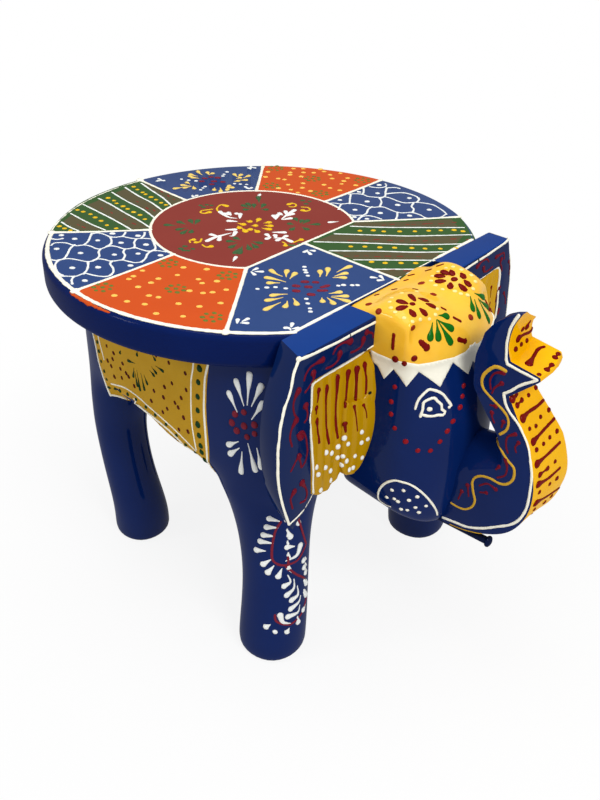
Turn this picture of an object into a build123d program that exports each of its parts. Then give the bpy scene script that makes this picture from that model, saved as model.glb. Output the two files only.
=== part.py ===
from build123d import *
import math
import os

os.makedirs("parts", exist_ok=True)

# Driving dimensions, millimetres. While it is modelled, X runs forward to the trunk from the
# axis of the round seat, Y runs to the elephant's left and Z runs up from the floor.
SEAT_RADIUS = 125.0
SEAT_THICKNESS = 19.0
SEAT_HEIGHT = 221.0
SEAT_EDGE_ROUND = 1.5
FRONT_CUT = 96.0

BODY_LENGTH_BACK = 108.0
BODY_HALF_WIDTH = 88.0
BODY_REAR_ROUND = 60.0
BODY_FRONT_ROUND = 30.0
BODY_LOWEST = 118.0
CORE_HALF = 34.0
BODY_TOP = SEAT_HEIGHT - SEAT_THICKNESS

SIDE_ARCH_TOP = 131.0
END_ARCH_TOP = 126.0
END_ARCH_HALF = 42.0

HEAD_HALF = 38.0
HEAD_FRONT = 157.0
CHIN_BOTTOM = 90.0
JAW_ROUND = 22.0
DOME_RADIUS = 26.0
DOME_TOP = 227.5
DOME_X = 119.0
DOME_Y = 16.0

EAR_THICKNESS = 18.0
EAR_TOP_HALF = 96.0
EAR_WIDEST = 111.0
EAR_FLARE = 8.0
EAR_LOWEST = 105.0
EAR_BAND = 17.5
EAR_CARVE = 1.6
LEFT_EAR_NARROWER = 10.0
LOBE_SPLIT = 59.0

TRUNK_HALF = 14.0
TRUNK_BOTTOM = 95.5
TRUNK_CROTCH = 154.0
TIP_SLANT = 12.0
TIP_TOP = 237.5
TIP_X = 171.0

NAIL_RADIUS = 2.3
NAIL_HEAD_RADIUS = 3.9
NAIL_Y = -10.0
NAIL_Z = 92.0
WIRE_RADIUS = 1.25
WIRE_HEAD_RADIUS = 2.6
WIRE_HEAD_THICKNESS = 1.2
PUNCHED_UNDER = 2.5
EAR_NAIL_SUNK = 1.4
DOWEL_RADIUS = 5.0
TRUNK_DOWEL_RADIUS = 4.0

# Each leg is a row of sections, from the foot to where it grows out of the barrel:
# height, distance forward of the seat axis, distance from the middle, radius.
FRONT_LEG = [
    (0, 78, 76, 17.0),
    (7, 78, 76, 20.0),
    (25, 78, 74.5, 19.8),
    (55, 77, 71.5, 18.8),
    (84, 73, 69, 21.0),
    (104, 69, 65, 24.5),
    (118, 66, 61, 27.5),
    (140, 61, 57, 25.0),
]
REAR_LEG = [
    (0, -64, 58, 16.5),
    (6, -64, 58, 18.8),
    (25, -63, 60, 19.0),
    (55, -69, 62, 19.3),
    (84, -74, 61, 20.5),
    (104, -73.5, 58.5, 23.5),
    (118, -71.5, 56.5, 26.5),
    (140, -67, 53, 24.0),
]


def axis_rod(start, direction, radius, length):
    """A round rod of the given length whose axis starts at a point."""
    return extrude(Plane(origin=start, z_dir=direction) * Circle(radius), length)


def side_prism(outline, half_width):
    """A closed outline in X and Z, drawn out across the stool to both sides."""
    return extrude(Plane.XZ * make_face(outline), half_width, both=True)


def leg(sections, side):
    """A carved leg: round sections skinned from the foot up into the barrel."""
    rings = [Plane(origin=(x, side * y, z)) * Circle(radius) for z, x, y, radius in sections]
    return loft(rings)


def barrel():
    """The rounded block under the seat, before its two halves get their legs."""
    plan = Pos((FRONT_CUT - BODY_LENGTH_BACK) / 2, 0) * Rectangle(
        FRONT_CUT + BODY_LENGTH_BACK, 2 * BODY_HALF_WIDTH
    )
    corners = plan.vertices().sort_by(Axis.X)
    plan = fillet(corners[:2], BODY_REAR_ROUND)
    plan = fillet(plan.vertices().sort_by(Axis.X)[-2:], BODY_FRONT_ROUND)
    block = Pos(0, 0, BODY_LOWEST) * extrude(plan, BODY_TOP - BODY_LOWEST)
    side_arch = Spline(
        (-46, BODY_LOWEST - 10),
        (-42, SIDE_ARCH_TOP - 5),
        (-24, SIDE_ARCH_TOP),
        (10, SIDE_ARCH_TOP - 4),
        (36, SIDE_ARCH_TOP - 15),
        (50, BODY_LOWEST - 10),
    )
    block -= side_prism(side_arch + Line(side_arch @ 1, side_arch @ 0), 2 * BODY_HALF_WIDTH)
    end_arch = Plane.YZ * (
        Pos(0, BODY_LOWEST - 10)
        * Ellipse(END_ARCH_HALF, END_ARCH_TOP - BODY_LOWEST + 10)
    )
    return block - extrude(end_arch, 2 * BODY_LENGTH_BACK, both=True)


def side_slab(whole, side):
    """One thick side plank of the barrel, carved in one with a front and a rear leg."""
    reach = 4 * BODY_HALF_WIDTH
    keep = Pos(0, side * (CORE_HALF + reach / 2), BODY_TOP / 2) * Box(reach, reach, 2 * BODY_TOP)
    carved = whole & keep
    carved += leg(FRONT_LEG, side) & keep
    carved += leg(REAR_LEG, side) & keep
    shaved = Pos(FRONT_CUT + reach / 2, 0, EAR_LOWEST + reach / 2) * Box(reach, reach, reach)
    return carved - shaved


def head():
    """Head block: side profile, plan and front outline meet, with two low domes on top."""
    top = Line((FRONT_CUT, SEAT_HEIGHT), (DOME_X + 9, SEAT_HEIGHT))
    brow = Spline(top @ 1, (141, 216), (148, 205), (149, 194), (154, 176))
    face = Polyline((154, 176), (HEAD_FRONT, 160), (HEAD_FRONT, CHIN_BOTTOM + 8))
    chin = Spline(face @ 1, (150, CHIN_BOTTOM + 1), (138, CHIN_BOTTOM))
    jaw = Polyline(chin @ 1, (FRONT_CUT, CHIN_BOTTOM + 8), (FRONT_CUT, SEAT_HEIGHT))
    block = side_prism(top + brow + face + chin + jaw, 2 * HEAD_HALF)
    for side in (-1, 1):
        block += Pos(DOME_X, side * DOME_Y, DOME_TOP - DOME_RADIUS) * Sphere(DOME_RADIUS)
    cheek = Spline((FRONT_CUT + 34, HEAD_HALF), (143, 34), (150, 25.5), (HEAD_FRONT, TRUNK_HALF))
    half_plan = Polyline(
        (HEAD_FRONT, TRUNK_HALF), (HEAD_FRONT, 0), (FRONT_CUT, 0), (FRONT_CUT, HEAD_HALF), cheek @ 0
    )
    half = make_face(cheek + half_plan)
    block &= extrude(half + mirror(half, about=Plane.XZ), 2 * SEAT_HEIGHT)
    tall = 2 * SEAT_HEIGHT
    outline = Pos(0, CHIN_BOTTOM + tall / 2) * RectangleRounded(2 * HEAD_HALF, tall, JAW_ROUND)
    return block & extrude(Plane.YZ * outline, 2 * HEAD_FRONT)


def ear_outline(outer, tip_y, tip_z):
    """Outline of an ear board: top edge, bowed outer edge, pointed tip, two lobes."""
    lobe_side = tip_y - 19
    top = Line((HEAD_HALF, SEAT_HEIGHT), (outer, SEAT_HEIGHT))
    bow = Spline(
        (outer, SEAT_HEIGHT),
        (outer + 12, SEAT_HEIGHT - 27),
        (outer + 15, SEAT_HEIGHT - 52),
        (tip_y + 5, tip_z + 13),
        (tip_y, tip_z),
    )
    under = Line((tip_y, tip_z), (lobe_side, 134))
    lobes = ThreePointArc((lobe_side, 134), (lobe_side / 2 + 28, 127), (56, 132)) + ThreePointArc(
        (56, 132), (46, 128), (HEAD_HALF, 138)
    )
    inner = Line((HEAD_HALF, 138), (HEAD_HALF, SEAT_HEIGHT))
    return make_face(top + bow + under + lobes + inner)


def ear(side):
    """Ear board: the outer edge flares to the front, and the lobes are carved back."""
    narrower = LEFT_EAR_NARROWER if side > 0 else 0
    top_half = EAR_TOP_HALF - narrower
    back = Plane.YZ.offset(FRONT_CUT) * ear_outline(top_half - EAR_FLARE, top_half, 121)
    front = Plane.YZ.offset(FRONT_CUT + EAR_THICKNESS) * ear_outline(top_half, top_half + 5, 122)
    board = loft([back, front], ruled=True)
    face_x = FRONT_CUT + EAR_THICKNESS
    inside_z = SEAT_HEIGHT - EAR_BAND
    inside_y = EAR_WIDEST - EAR_BAND - 8 - narrower
    for deep, from_y, to_y in (
        (2 * EAR_CARVE, LOBE_SPLIT, inside_y),
        (EAR_CARVE, HEAD_HALF, LOBE_SPLIT),
    ):
        middle = Pos(face_x - deep / 2, (from_y + to_y) / 2, (inside_z + CHIN_BOTTOM) / 2)
        board -= middle * Box(deep, to_y - from_y, inside_z - CHIN_BOTTOM)
    board &= Pos(FRONT_CUT, HEAD_HALF + EAR_WIDEST, 0) * Box(
        4 * EAR_THICKNESS, 2 * EAR_WIDEST, 2 * SEAT_HEIGHT
    )
    return board if side > 0 else mirror(board, about=Plane.XZ)


def trunk():
    """Trunk: a sawn plank profile, curled up, with an open tip cut on the slant."""
    tip = Spline((160.5, 222), (168, 232), (177, 237), (181.5, 235.5))
    mouth = Spline((181.5, 235.5), (176, 226), (175, 213), (178.5, 208.5))
    lip = Line((178.5, 208.5), (193, 207)) + ThreePointArc((193, 207), (195, 206), (194, 204.5))
    under_lip = Line((194, 204.5), (179, 190))
    front = Spline(
        (179, 190), (189, 173), (198.5, 155), (201, 138), (195, 116), (181, 102), (160, 96)
    )
    bottom = Line((160, 96), (HEAD_FRONT, TRUNK_BOTTOM))
    joint = Line((HEAD_FRONT, TRUNK_BOTTOM), (HEAD_FRONT, TRUNK_CROTCH))
    crotch = Spline((HEAD_FRONT, TRUNK_CROTCH), (167, TRUNK_CROTCH + 1), (174.5, 165))
    back = Spline((174.5, 165), (166, 177), (159, 192), (157, 206), (160.5, 222))
    shape = side_prism(
        tip + mouth + lip + under_lip + front + bottom + joint + crotch + back, TRUNK_HALF
    )
    slope = math.degrees(math.atan2(TIP_SLANT, 2 * TRUNK_HALF))
    above = Pos(0, 0, 20) * Box(90, 90, 40)
    above = Pos(TIP_X, -TRUNK_HALF, TIP_TOP) * Rot(-slope, 0, 0) * above
    return shape - above


def nail_along(start, direction, length):
    """A wire nail: a shank with a flat round head at its start."""
    head_disc = axis_rod(start, direction, WIRE_HEAD_RADIUS, WIRE_HEAD_THICKNESS)
    return head_disc + axis_rod(start, direction, WIRE_RADIUS, length)


def group(solids):
    """Several separate solids kept in one node."""
    return Compound([solid.solid() for solid in solids])


# Fixings first, because the wooden pieces are bored for them.
cross_dowels = [
    axis_rod((x, -CORE_HALF - 20, 156), (0, 1, 0), DOWEL_RADIUS, 2 * CORE_HALF + 40)
    for x in (-66, -8, 58)
]
head_dowel_rods = [
    axis_rod((FRONT_CUT - 20, y, z), (1, 0, 0), DOWEL_RADIUS, 40)
    for y, z in ((-20, 184), (20, 184))
]
trunk_dowel_rods = [
    axis_rod((HEAD_FRONT - 20, 0, z), (1, 0, 0), TRUNK_DOWEL_RADIUS, 36) for z in (113, 145)
]
seat_nail_spots = [(x, y) for x in (-68, 10) for y in (-58, 0, 58)]
seat_nail_rods = [
    nail_along((x, y, SEAT_HEIGHT - PUNCHED_UNDER), (0, 0, -1), 45) for x, y in seat_nail_spots
]
putty_plugs = [
    axis_rod((x, y, SEAT_HEIGHT - PUNCHED_UNDER), (0, 0, 1), WIRE_HEAD_RADIUS, PUNCHED_UNDER)
    for x, y in seat_nail_spots
]
ear_nail_spots = [(side * y, z) for side in (-1, 1) for y, z in ((59, 215), (41, 177))]
ear_nail_rods = [
    nail_along((FRONT_CUT + EAR_THICKNESS - EAR_CARVE - EAR_NAIL_SUNK, y, z), (-1, 0, 0), 38)
    for y, z in ear_nail_spots
]
ear_nail_wells = [
    axis_rod(
        (FRONT_CUT + EAR_THICKNESS, y, z), (-1, 0, 0), WIRE_HEAD_RADIUS, EAR_CARVE + EAR_NAIL_SUNK
    )
    for y, z in ear_nail_spots
]
chin_nail = axis_rod((HEAD_FRONT - 22, NAIL_Y, NAIL_Z), (1, 0, 0), NAIL_RADIUS, 43)
chin_nail += axis_rod((HEAD_FRONT + 21, NAIL_Y, NAIL_Z), (1, 0, 0), NAIL_HEAD_RADIUS, 2.6)

# Wooden pieces.
seat = Pos(0, 0, BODY_TOP) * extrude(Circle(SEAT_RADIUS), SEAT_THICKNESS)
seat = chamfer(seat.edges().filter_by(GeomType.CIRCLE), SEAT_EDGE_ROUND)
seat -= Pos(FRONT_CUT + SEAT_RADIUS, 0, SEAT_HEIGHT) * Box(
    2 * SEAT_RADIUS, 4 * SEAT_RADIUS, 4 * SEAT_THICKNESS
)
whole_barrel = barrel()
core = whole_barrel & Box(9 * SEAT_RADIUS, 2 * CORE_HALF, 9 * SEAT_RADIUS)

pieces = {
    "seat_top": seat,
    "body_core": core,
    "body_side_right": side_slab(whole_barrel, -1),
    "body_side_left": side_slab(whole_barrel, 1),
    "head_block": head(),
    "ear_right": ear(-1),
    "ear_left": ear(1),
    "trunk": trunk(),
}
bored_for = {
    "seat_top": seat_nail_rods + putty_plugs + ear_nail_rods,
    "body_core": cross_dowels + head_dowel_rods + seat_nail_rods,
    "body_side_right": cross_dowels + seat_nail_rods + ear_nail_rods,
    "body_side_left": cross_dowels + seat_nail_rods + ear_nail_rods,
    "head_block": head_dowel_rods + trunk_dowel_rods + [chin_nail],
    "ear_right": ear_nail_rods + ear_nail_wells,
    "ear_left": ear_nail_rods + ear_nail_wells,
    "trunk": trunk_dowel_rods,
}
for name, fixings in bored_for.items():
    for fixing in fixings:
        pieces[name] = pieces[name] - fixing

pieces["trunk_nail"] = chin_nail
pieces["ear_nails"] = group(ear_nail_rods)
pieces["body_dowels"] = group(cross_dowels)
pieces["head_dowels"] = group(head_dowel_rods)
pieces["trunk_dowels"] = group(trunk_dowel_rods)
pieces["seat_nails"] = group(seat_nail_rods)
pieces["seat_putty"] = group(putty_plugs)

# The finished stool stands with the middle of its length over the origin.
back_end = min(piece.bounding_box().min.X for piece in pieces.values())
front_end = max(piece.bounding_box().max.X for piece in pieces.values())
to_middle = Pos(-(back_end + front_end) / 2, 0, 0)
for name, piece in pieces.items():
    export_step(to_middle * piece, os.path.join("parts", name + ".step"))
print("length", round(front_end - back_end, 2), "middle at", round((back_end + front_end) / 2, 2))
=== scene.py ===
import math
import random

import bmesh
import bpy
from mathutils import Matrix, Vector
from mathutils.bvhtree import BVHTree


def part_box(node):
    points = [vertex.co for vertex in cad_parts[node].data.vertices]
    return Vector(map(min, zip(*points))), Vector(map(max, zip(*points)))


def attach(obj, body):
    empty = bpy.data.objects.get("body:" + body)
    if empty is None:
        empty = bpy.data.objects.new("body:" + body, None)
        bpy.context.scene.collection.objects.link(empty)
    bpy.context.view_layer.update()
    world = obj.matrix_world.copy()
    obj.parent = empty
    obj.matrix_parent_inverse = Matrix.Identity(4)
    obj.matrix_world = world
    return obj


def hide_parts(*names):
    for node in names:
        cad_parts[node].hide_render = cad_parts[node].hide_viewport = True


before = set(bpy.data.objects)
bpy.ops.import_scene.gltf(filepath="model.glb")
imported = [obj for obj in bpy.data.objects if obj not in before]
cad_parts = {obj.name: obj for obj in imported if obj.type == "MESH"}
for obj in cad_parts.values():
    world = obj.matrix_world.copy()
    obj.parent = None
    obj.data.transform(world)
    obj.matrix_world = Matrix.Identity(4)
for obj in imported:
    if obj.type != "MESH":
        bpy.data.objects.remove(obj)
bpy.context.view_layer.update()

MM = 0.001

# Shapes are worked out in millimetres from the axis of the round seat: x runs forward to the
# trunk, y to the elephant's left and z up from the floor.
SEAT_LOW, SEAT_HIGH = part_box("seat_top")
SEAT_RADIUS = (SEAT_HIGH.y - SEAT_LOW.y) / 2 / MM
SEAT_TOP = SEAT_HIGH.z / MM
SEAT_UNDER = SEAT_LOW.z / MM
SEAT_AXIS = Vector((SEAT_LOW.x + SEAT_RADIUS * MM, 0, 0))
FRONT_CUT = (SEAT_HIGH.x - SEAT_AXIS.x) / MM
TO_FRAME = Matrix.Translation(SEAT_AXIS) @ Matrix.Scale(MM, 4)
EAR_THICKNESS = 18
EAR_FRONT = FRONT_CUT + EAR_THICKNESS
TRUNK_HALF = 14
CORE_HALF = 34
HEAD_HALF = 38
BODY_CREASE = 60
NEAR, FAR = -1, 1
random.seed(7)
skins = {}


# ---------------------------------------------------------------- where the eye stands

CAMERA_TURN = 40.739
CAMERA_TILT = 32.079
CAMERA_ROLL = 1.017
CAMERA_DISTANCE = 556.39
CAMERA_SHIFT_RIGHT = 22.167
CAMERA_SHIFT_UP = -97.634
CAMERA_LENS = 42.42


def camera_axes():
    """Where the camera stands, and its right, up and back directions."""
    turn, tilt, roll = (math.radians(a) for a in (CAMERA_TURN, CAMERA_TILT, CAMERA_ROLL))
    back = Vector((math.sin(turn) * math.cos(tilt), -math.cos(turn) * math.cos(tilt),
                   math.sin(tilt)))
    level = Vector((math.cos(turn), math.sin(turn), 0))
    upright = back.cross(level)
    right = math.cos(roll) * level + math.sin(roll) * upright
    up = -math.sin(roll) * level + math.cos(roll) * upright
    place = (Vector((0, 0, SEAT_TOP)) + right * CAMERA_SHIFT_RIGHT + up * CAMERA_SHIFT_UP
             + back * CAMERA_DISTANCE)
    return place, right, up, back


EYE = camera_axes()[0]


# ---------------------------------------------------------------- mesh tools

def block(low, high):
    """A block between two corners."""
    low, high = Vector(low), Vector(high)
    bm = bmesh.new()
    place = Matrix.LocRotScale((low + high) / 2, None, high - low)
    bmesh.ops.create_cube(bm, size=1.0, matrix=place)
    return bm


def held(value):
    """A value held between 0 and 1."""
    return min(1.0, max(0.0, value))


def everything(bm):
    return bm.verts[:] + bm.edges[:] + bm.faces[:]


def slice_across(bm, axis, places):
    """Cuts a mesh by planes square to one axis, keeping both sides of each cut."""
    for place in places:
        point, normal = Vector((0, 0, 0)), Vector((0, 0, 0))
        point[axis], normal[axis] = place, 1
        bmesh.ops.bisect_plane(
            bm, geom=everything(bm), dist=0.01, plane_co=point, plane_no=normal
        )


def trim(bm, point, normal, fill=True):
    """Saws off what lies beyond a plane, on the side that its normal points to."""
    cut = bmesh.ops.bisect_plane(
        bm, geom=everything(bm), dist=0.001, plane_co=point, plane_no=normal, clear_outer=True
    )
    rim = [part for part in cut["geom_cut"] if isinstance(part, bmesh.types.BMEdge)]
    if fill and rim:
        bmesh.ops.holes_fill(bm, edges=rim, sides=0)


def through_modifier(bm, kind, **settings):
    """The mesh after one modifier, as a new bmesh."""
    mesh = bpy.data.meshes.new("bench")
    bm.to_mesh(mesh)
    bm.free()
    bench = bpy.data.objects.new("bench", mesh)
    bpy.context.scene.collection.objects.link(bench)
    modifier = bench.modifiers.new("bench", kind)
    for name, value in settings.items():
        setattr(modifier, name, value)
    result = bmesh.new()
    result.from_object(bench, bpy.context.evaluated_depsgraph_get())
    bpy.data.objects.remove(bench)
    return result


def carved_round(bm, levels=3):
    """Catmull-Clark rounding of a cage."""
    return through_modifier(bm, "SUBSURF", levels=levels, render_levels=levels)


def smooth_route(points, step=1.5, closed=False):
    """Points along a Catmull-Rom curve through the given points, about a step apart."""
    points = [Vector(p) for p in points]
    count = len(points)
    if closed:
        ends = [(points[i - 1], points[i], points[(i + 1) % count], points[(i + 2) % count])
                for i in range(count)]
    else:
        padded = [points[0]] + points + [points[-1]]
        ends = [padded[i:i + 4] for i in range(count - 1)]
    route = []
    for a, b, c, d in ends:
        pieces = max(1, round((c - b).length / step))
        for k in range(pieces):
            t = k / pieces
            route.append(0.5 * (
                2 * b + (c - a) * t + (2 * a - 5 * b + 4 * c - d) * t * t
                + (3 * b - a - 3 * c + d) * t * t * t
            ))
    if not closed:
        route.append(points[-1])
    return route


def flat_route(points, step=1.5, closed=False):
    """A smooth route through flat places, at height zero."""
    return smooth_route([(p[0], p[1], 0) for p in points], step, closed)


def arc(centre, radius, start, end, step=4.0):
    """Points on an arc, angles in degrees."""
    count = max(2, round(abs(math.radians(end - start)) * radius / step))
    angles = [math.radians(start + (end - start) * k / count) for k in range(count + 1)]
    return [Vector((centre[0] + radius * math.cos(a), centre[1] + radius * math.sin(a)))
            for a in angles]


def sawn(outline, place, depth):
    """A plank sawn to a flat outline: place turns (u, v) into a point, depth is its thickness."""
    bm = bmesh.new()
    face = bm.faces.new([bm.verts.new(place(u, v)) for u, v in outline])
    grown = bmesh.ops.extrude_face_region(bm, geom=[face])
    moved = [v for v in grown["geom"] if isinstance(v, bmesh.types.BMVert)]
    bmesh.ops.translate(bm, vec=depth, verts=moved)
    bmesh.ops.recalc_face_normals(bm, faces=bm.faces[:])
    return bm


def ease_edges(bm, edges, offset, segments=3):
    """Rounds edges over, as sandpaper does."""
    bmesh.ops.bevel(bm, geom=edges, offset=offset, offset_type="OFFSET", segments=segments,
                    profile=0.5, affect="EDGES", clamp_overlap=True, material=-1)


def rim_edges(bm, axis, place, slack=0.01):
    """The outline edges that lie in one plane square to an axis."""
    return [e for e in bm.edges
            if all(abs(v.co[axis] - place) < slack for v in e.verts)
            and any(abs(f.normal[axis]) < 0.9 for f in e.link_faces)]


def mirrored(bm):
    """The same shape on the other side of the stool."""
    copy = bm.copy()
    bmesh.ops.scale(copy, vec=(1, -1, 1), verts=copy.verts)
    bmesh.ops.reverse_faces(copy, faces=copy.faces)
    return copy


def joined(meshes):
    """Several closed shells in one mesh."""
    whole = bmesh.new()
    for bm in meshes:
        part = bpy.data.meshes.new("part")
        bm.to_mesh(part)
        bm.free()
        whole.from_mesh(part)
        bpy.data.meshes.remove(part)
    return whole


def piece(name, bm, finishes, nodes, crease=40):
    """Brings a finished shape into the frame as one piece that rides on the stool."""
    for node in nodes:
        skins[node] = BVHTree.FromBMesh(bm)
    bm.transform(TO_FRAME)
    mesh = bpy.data.meshes.new(name)
    bm.to_mesh(mesh)
    bm.free()
    for finish in finishes:
        mesh.materials.append(finish)
    mesh.shade_smooth()
    if crease:
        mesh.set_sharp_from_angle(angle=math.radians(crease))
    made = bpy.data.objects.new(name, mesh)
    bpy.context.scene.collection.objects.link(made)
    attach(made, "root")
    if nodes:
        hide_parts(*nodes)


# ---------------------------------------------------------------- raised cone paint

RELIEF = 0.5
RING = 8


class ConePaint:
    """Paint squeezed from a cone onto one surface: lines, dots and drops stand a little proud.

    lay turns a flat place (u, v) into a point of the surface and its outward normal.
    """

    def __init__(self, lay, finishes, relief=RELIEF):
        self.lay = lay
        self.finishes = finishes
        self.relief = relief
        self.bm = bmesh.new()

    def line(self, finish, points, width, step=1.6, ends=(1, 1), wobble=0.1):
        """A line of even width through points; ends thins or thickens its two ends."""
        route = flat_route(points, step)
        last = max(1, len(route) - 1)
        radii = []
        for k in range(len(route)):
            t = k / last
            thin = 1 + (ends[0] - 1) * max(0, 1 - 5 * t) + (ends[1] - 1) * max(0, 5 * t - 4)
            radii.append(width / 2 * thin * random.uniform(1 - wobble, 1 + wobble))
        self.stroke(finish, route, radii)

    def drop(self, finish, head, tail, width, bend=0.0):
        """A teardrop: a round head that runs out to a thin tail."""
        self.taper(finish, head, tail, width, (1.0, 0.94, 0.7, 0.44, 0.3, 0.22, 0.17), bend)

    def petal(self, finish, head, tail, width):
        """A blunt oval stroke."""
        self.taper(finish, head, tail, width, (0.9, 1.0, 1.0, 0.94, 0.84, 0.7, 0.5))

    def bow(self, finish, start, end, width):
        """Two joined dots."""
        self.taper(finish, start, end, width, (1.0, 0.8, 0.45, 0.35, 0.42, 0.75, 0.85))

    def taper(self, finish, start, end, width, shares, bend=0.0):
        """A stroke between two places that has these shares of its width at even steps."""
        start, end = Vector((start[0], start[1], 0)), Vector((end[0], end[1], 0))
        side = Vector((-(end - start).y, (end - start).x, 0)) * bend
        steps = len(shares) - 1
        route = [start.lerp(end, k / steps) + side * math.sin(math.pi * k / steps)
                 for k in range(steps + 1)]
        self.stroke(finish, route, [width / 2 * share for share in shares])

    def shaped(self, finish, points, width, share, step=1.2):
        """A stroke through points whose width follows share, from 0 at its start to 1."""
        route = flat_route(points, step)
        last = max(1, len(route) - 1)
        self.stroke(finish, route, [width / 2 * share(k / last) for k in range(len(route))])

    def leaf(self, finish, points, width):
        """A fat stroke that starts blunt and runs out to a point."""
        self.shaped(finish, points, width, lambda t: 1.0 - 0.72 * t ** 1.3)

    def long_leaf(self, finish, points, width):
        """A leaf with a round head that narrows evenly to its tail."""
        self.shaped(finish, points, width, lambda t: 1.0 - 0.8 * min(1.0, 1.15 * t) ** 0.9)

    def comma(self, finish, points, width, tail=0.42):
        """A stroke that starts in a round head and runs on as a thin line."""
        self.shaped(finish, points, width,
                    lambda t: (tail + (1 - tail) * max(0.0, 1 - 3.2 * t) ** 1.2)
                    * random.uniform(0.9, 1.1), 1.4)

    def dot(self, finish, place, width, stretch=1.0, turn=0.0, jitter=0.12):
        """A dot, round or drawn out along a direction given in degrees."""
        width *= random.uniform(1 - jitter, 1 + jitter)
        reach = max(0.12, (stretch - 1) / 2) * width
        a = math.radians(turn)
        along = Vector((math.cos(a), math.sin(a), 0)) * reach / 2
        middle = Vector((place[0], place[1], 0))
        self.stroke(finish, [middle - along, middle + along], [width / 2] * 2)

    def dots(self, finish, places, width, stretch=1.0, turn=0.0):
        for place in places:
            self.dot(finish, place, width, stretch, turn + random.uniform(-12, 12))

    def stroke(self, finish, route, radii):
        """A closed shell along a route, flat-bellied, with round ends."""
        laid = [self.lay(p[0], p[1]) for p in route]
        points = [Vector(p) for p, _ in laid]
        normals = [Vector(n).normalized() for _, n in laid]
        tangents = []
        for k in range(len(points)):
            chord = points[min(k + 1, len(points) - 1)] - points[max(k - 1, 0)]
            chord -= normals[k] * chord.dot(normals[k])
            tangents.append(chord.normalized())
        rows = []
        for along, size in ((-1.0, 0.0), (-0.86, 0.5), (-0.5, 0.87)):
            rows.append((points[0] + tangents[0] * along * radii[0], 0, size * radii[0]))
        rows += [(points[k], k, radii[k]) for k in range(len(points))]
        last = len(points) - 1
        for along, size in ((0.5, 0.87), (0.86, 0.5), (1.0, 0.0)):
            rows.append((points[last] + tangents[last] * along * radii[last], last,
                         size * radii[last]))
        rings = []
        for middle, k, radius in rows:
            if radius == 0:
                rings.append([self.bm.verts.new(middle)])
                continue
            across = normals[k].cross(tangents[k])
            ring = []
            for j in range(RING):
                turn = 2 * math.pi * j / RING
                lift = math.sin(turn) * self.relief * radius
                ring.append(self.bm.verts.new(
                    middle + across * math.cos(turn) * radius + normals[k] * lift))
            rings.append(ring)
        index = self.finishes.index(finish)
        for first, second in zip(rings, rings[1:]):
            for j in range(RING):
                corners = [first[j % len(first)], first[(j + 1) % RING % len(first)],
                           second[(j + 1) % RING % len(second)], second[j % len(second)]]
                corners = list(dict.fromkeys(corners))
                self.bm.faces.new(corners).material_index = index

    def patch(self, finish, outline, thick, grain=2.0):
        """A flat filled shape, a coat thick, that follows the surface."""
        bm = bmesh.new()
        bm.faces.new([bm.verts.new((p[0], p[1], 0)) for p in outline])
        for axis in (0, 1):
            low, high = min(p[axis] for p in outline), max(p[axis] for p in outline)
            count = int((high - low) / grain)
            slice_across(bm, axis, [low + grain * k for k in range(1, count + 1)])
        rim = {v for e in bm.edges if e.is_boundary for v in e.verts}
        shore = {v: v in rim for v in bm.verts}
        feet = {v: self.lay(v.co.x, v.co.y) for v in bm.verts}
        grown = bmesh.ops.extrude_face_region(bm, geom=bm.faces[:])
        tops = [v for v in grown["geom"] if isinstance(v, bmesh.types.BMVert)]
        ground = {(round(v.co.x, 3), round(v.co.y, 3)): v for v in feet}
        for top in tops:
            foot = ground[(round(top.co.x, 3), round(top.co.y, 3))]
            place, normal = feet[foot]
            top.co = Vector(place) + Vector(normal) * thick * (0.5 if shore[foot] else 1.0)
        for foot, (place, normal) in feet.items():
            foot.co = Vector(place) - Vector(normal) * thick
        index = self.finishes.index(finish)
        for face in bm.faces:
            face.material_index = index
        flat = bpy.data.meshes.new("patch")
        bm.to_mesh(flat)
        bm.free()
        self.bm.from_mesh(flat)
        bpy.data.meshes.remove(flat)

    def repeat_on_far_side(self):
        self.bm = joined([mirrored(self.bm), self.bm])

    def dry(self, name):
        """Finishes the work as one piece of the scene."""
        bmesh.ops.recalc_face_normals(self.bm, faces=self.bm.faces)
        piece(name, self.bm, self.finishes, [], crease=0)


def flat_seat(x, y):
    return (x, y, SEAT_TOP), (0, 0, 1)


def sighted(node, axis, level, reach=60, follow=False):
    """Lays paint where the eye sees a drawing that stands square to one axis at a level.

    A place that is seen past the outline goes to the surface nearest to the drawing, or, to
    follow a stroke, to the one nearest to the ray at the last distance.
    """
    seen = {}

    def lay(u, v):
        target = [u, v]
        target.insert(axis, level)
        target = Vector(target)
        way = (target - EYE).normalized()
        place, normal, _, distance = skins[node].ray_cast(EYE, way)
        if place is None or (place - target).length > reach:
            guess = EYE + way * seen["distance"] if follow and seen else target
            place, normal, _, _ = skins[node].find_nearest(guess)
        else:
            seen["distance"] = distance
        return place, (-normal if normal.dot(way) > 0 else normal)
    return lay


def pressed(node, start, way, depth=60):
    """Lays paint square on: start places (u, v) out in front, and way leads to the surface,
    which lies about as deep as depth."""
    way = Vector(way)

    def lay(u, v):
        place, normal, _, _ = skins[node].ray_cast(Vector(start(u, v)), way)
        if place is None:
            place, normal, _, _ = skins[node].find_nearest(Vector(start(u, v)) + way * depth)
        return place, (-normal if normal.dot(way) > 0 else normal)
    return lay


# ---------------------------------------------------------------- finishes

def new_group(name, inputs, outputs):
    """An empty shader group with named sockets, and its two end nodes."""
    tree = bpy.data.node_groups.new(name, "ShaderNodeTree")
    for title, kind, value in inputs:
        socket = tree.interface.new_socket(title, in_out="INPUT", socket_type=kind)
        if value is not None:
            socket.default_value = value
    for title, kind in outputs:
        tree.interface.new_socket(title, in_out="OUTPUT", socket_type=kind)
    start = tree.nodes.new("NodeGroupInput")
    end = tree.nodes.new("NodeGroupOutput")
    return tree, start, end


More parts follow.
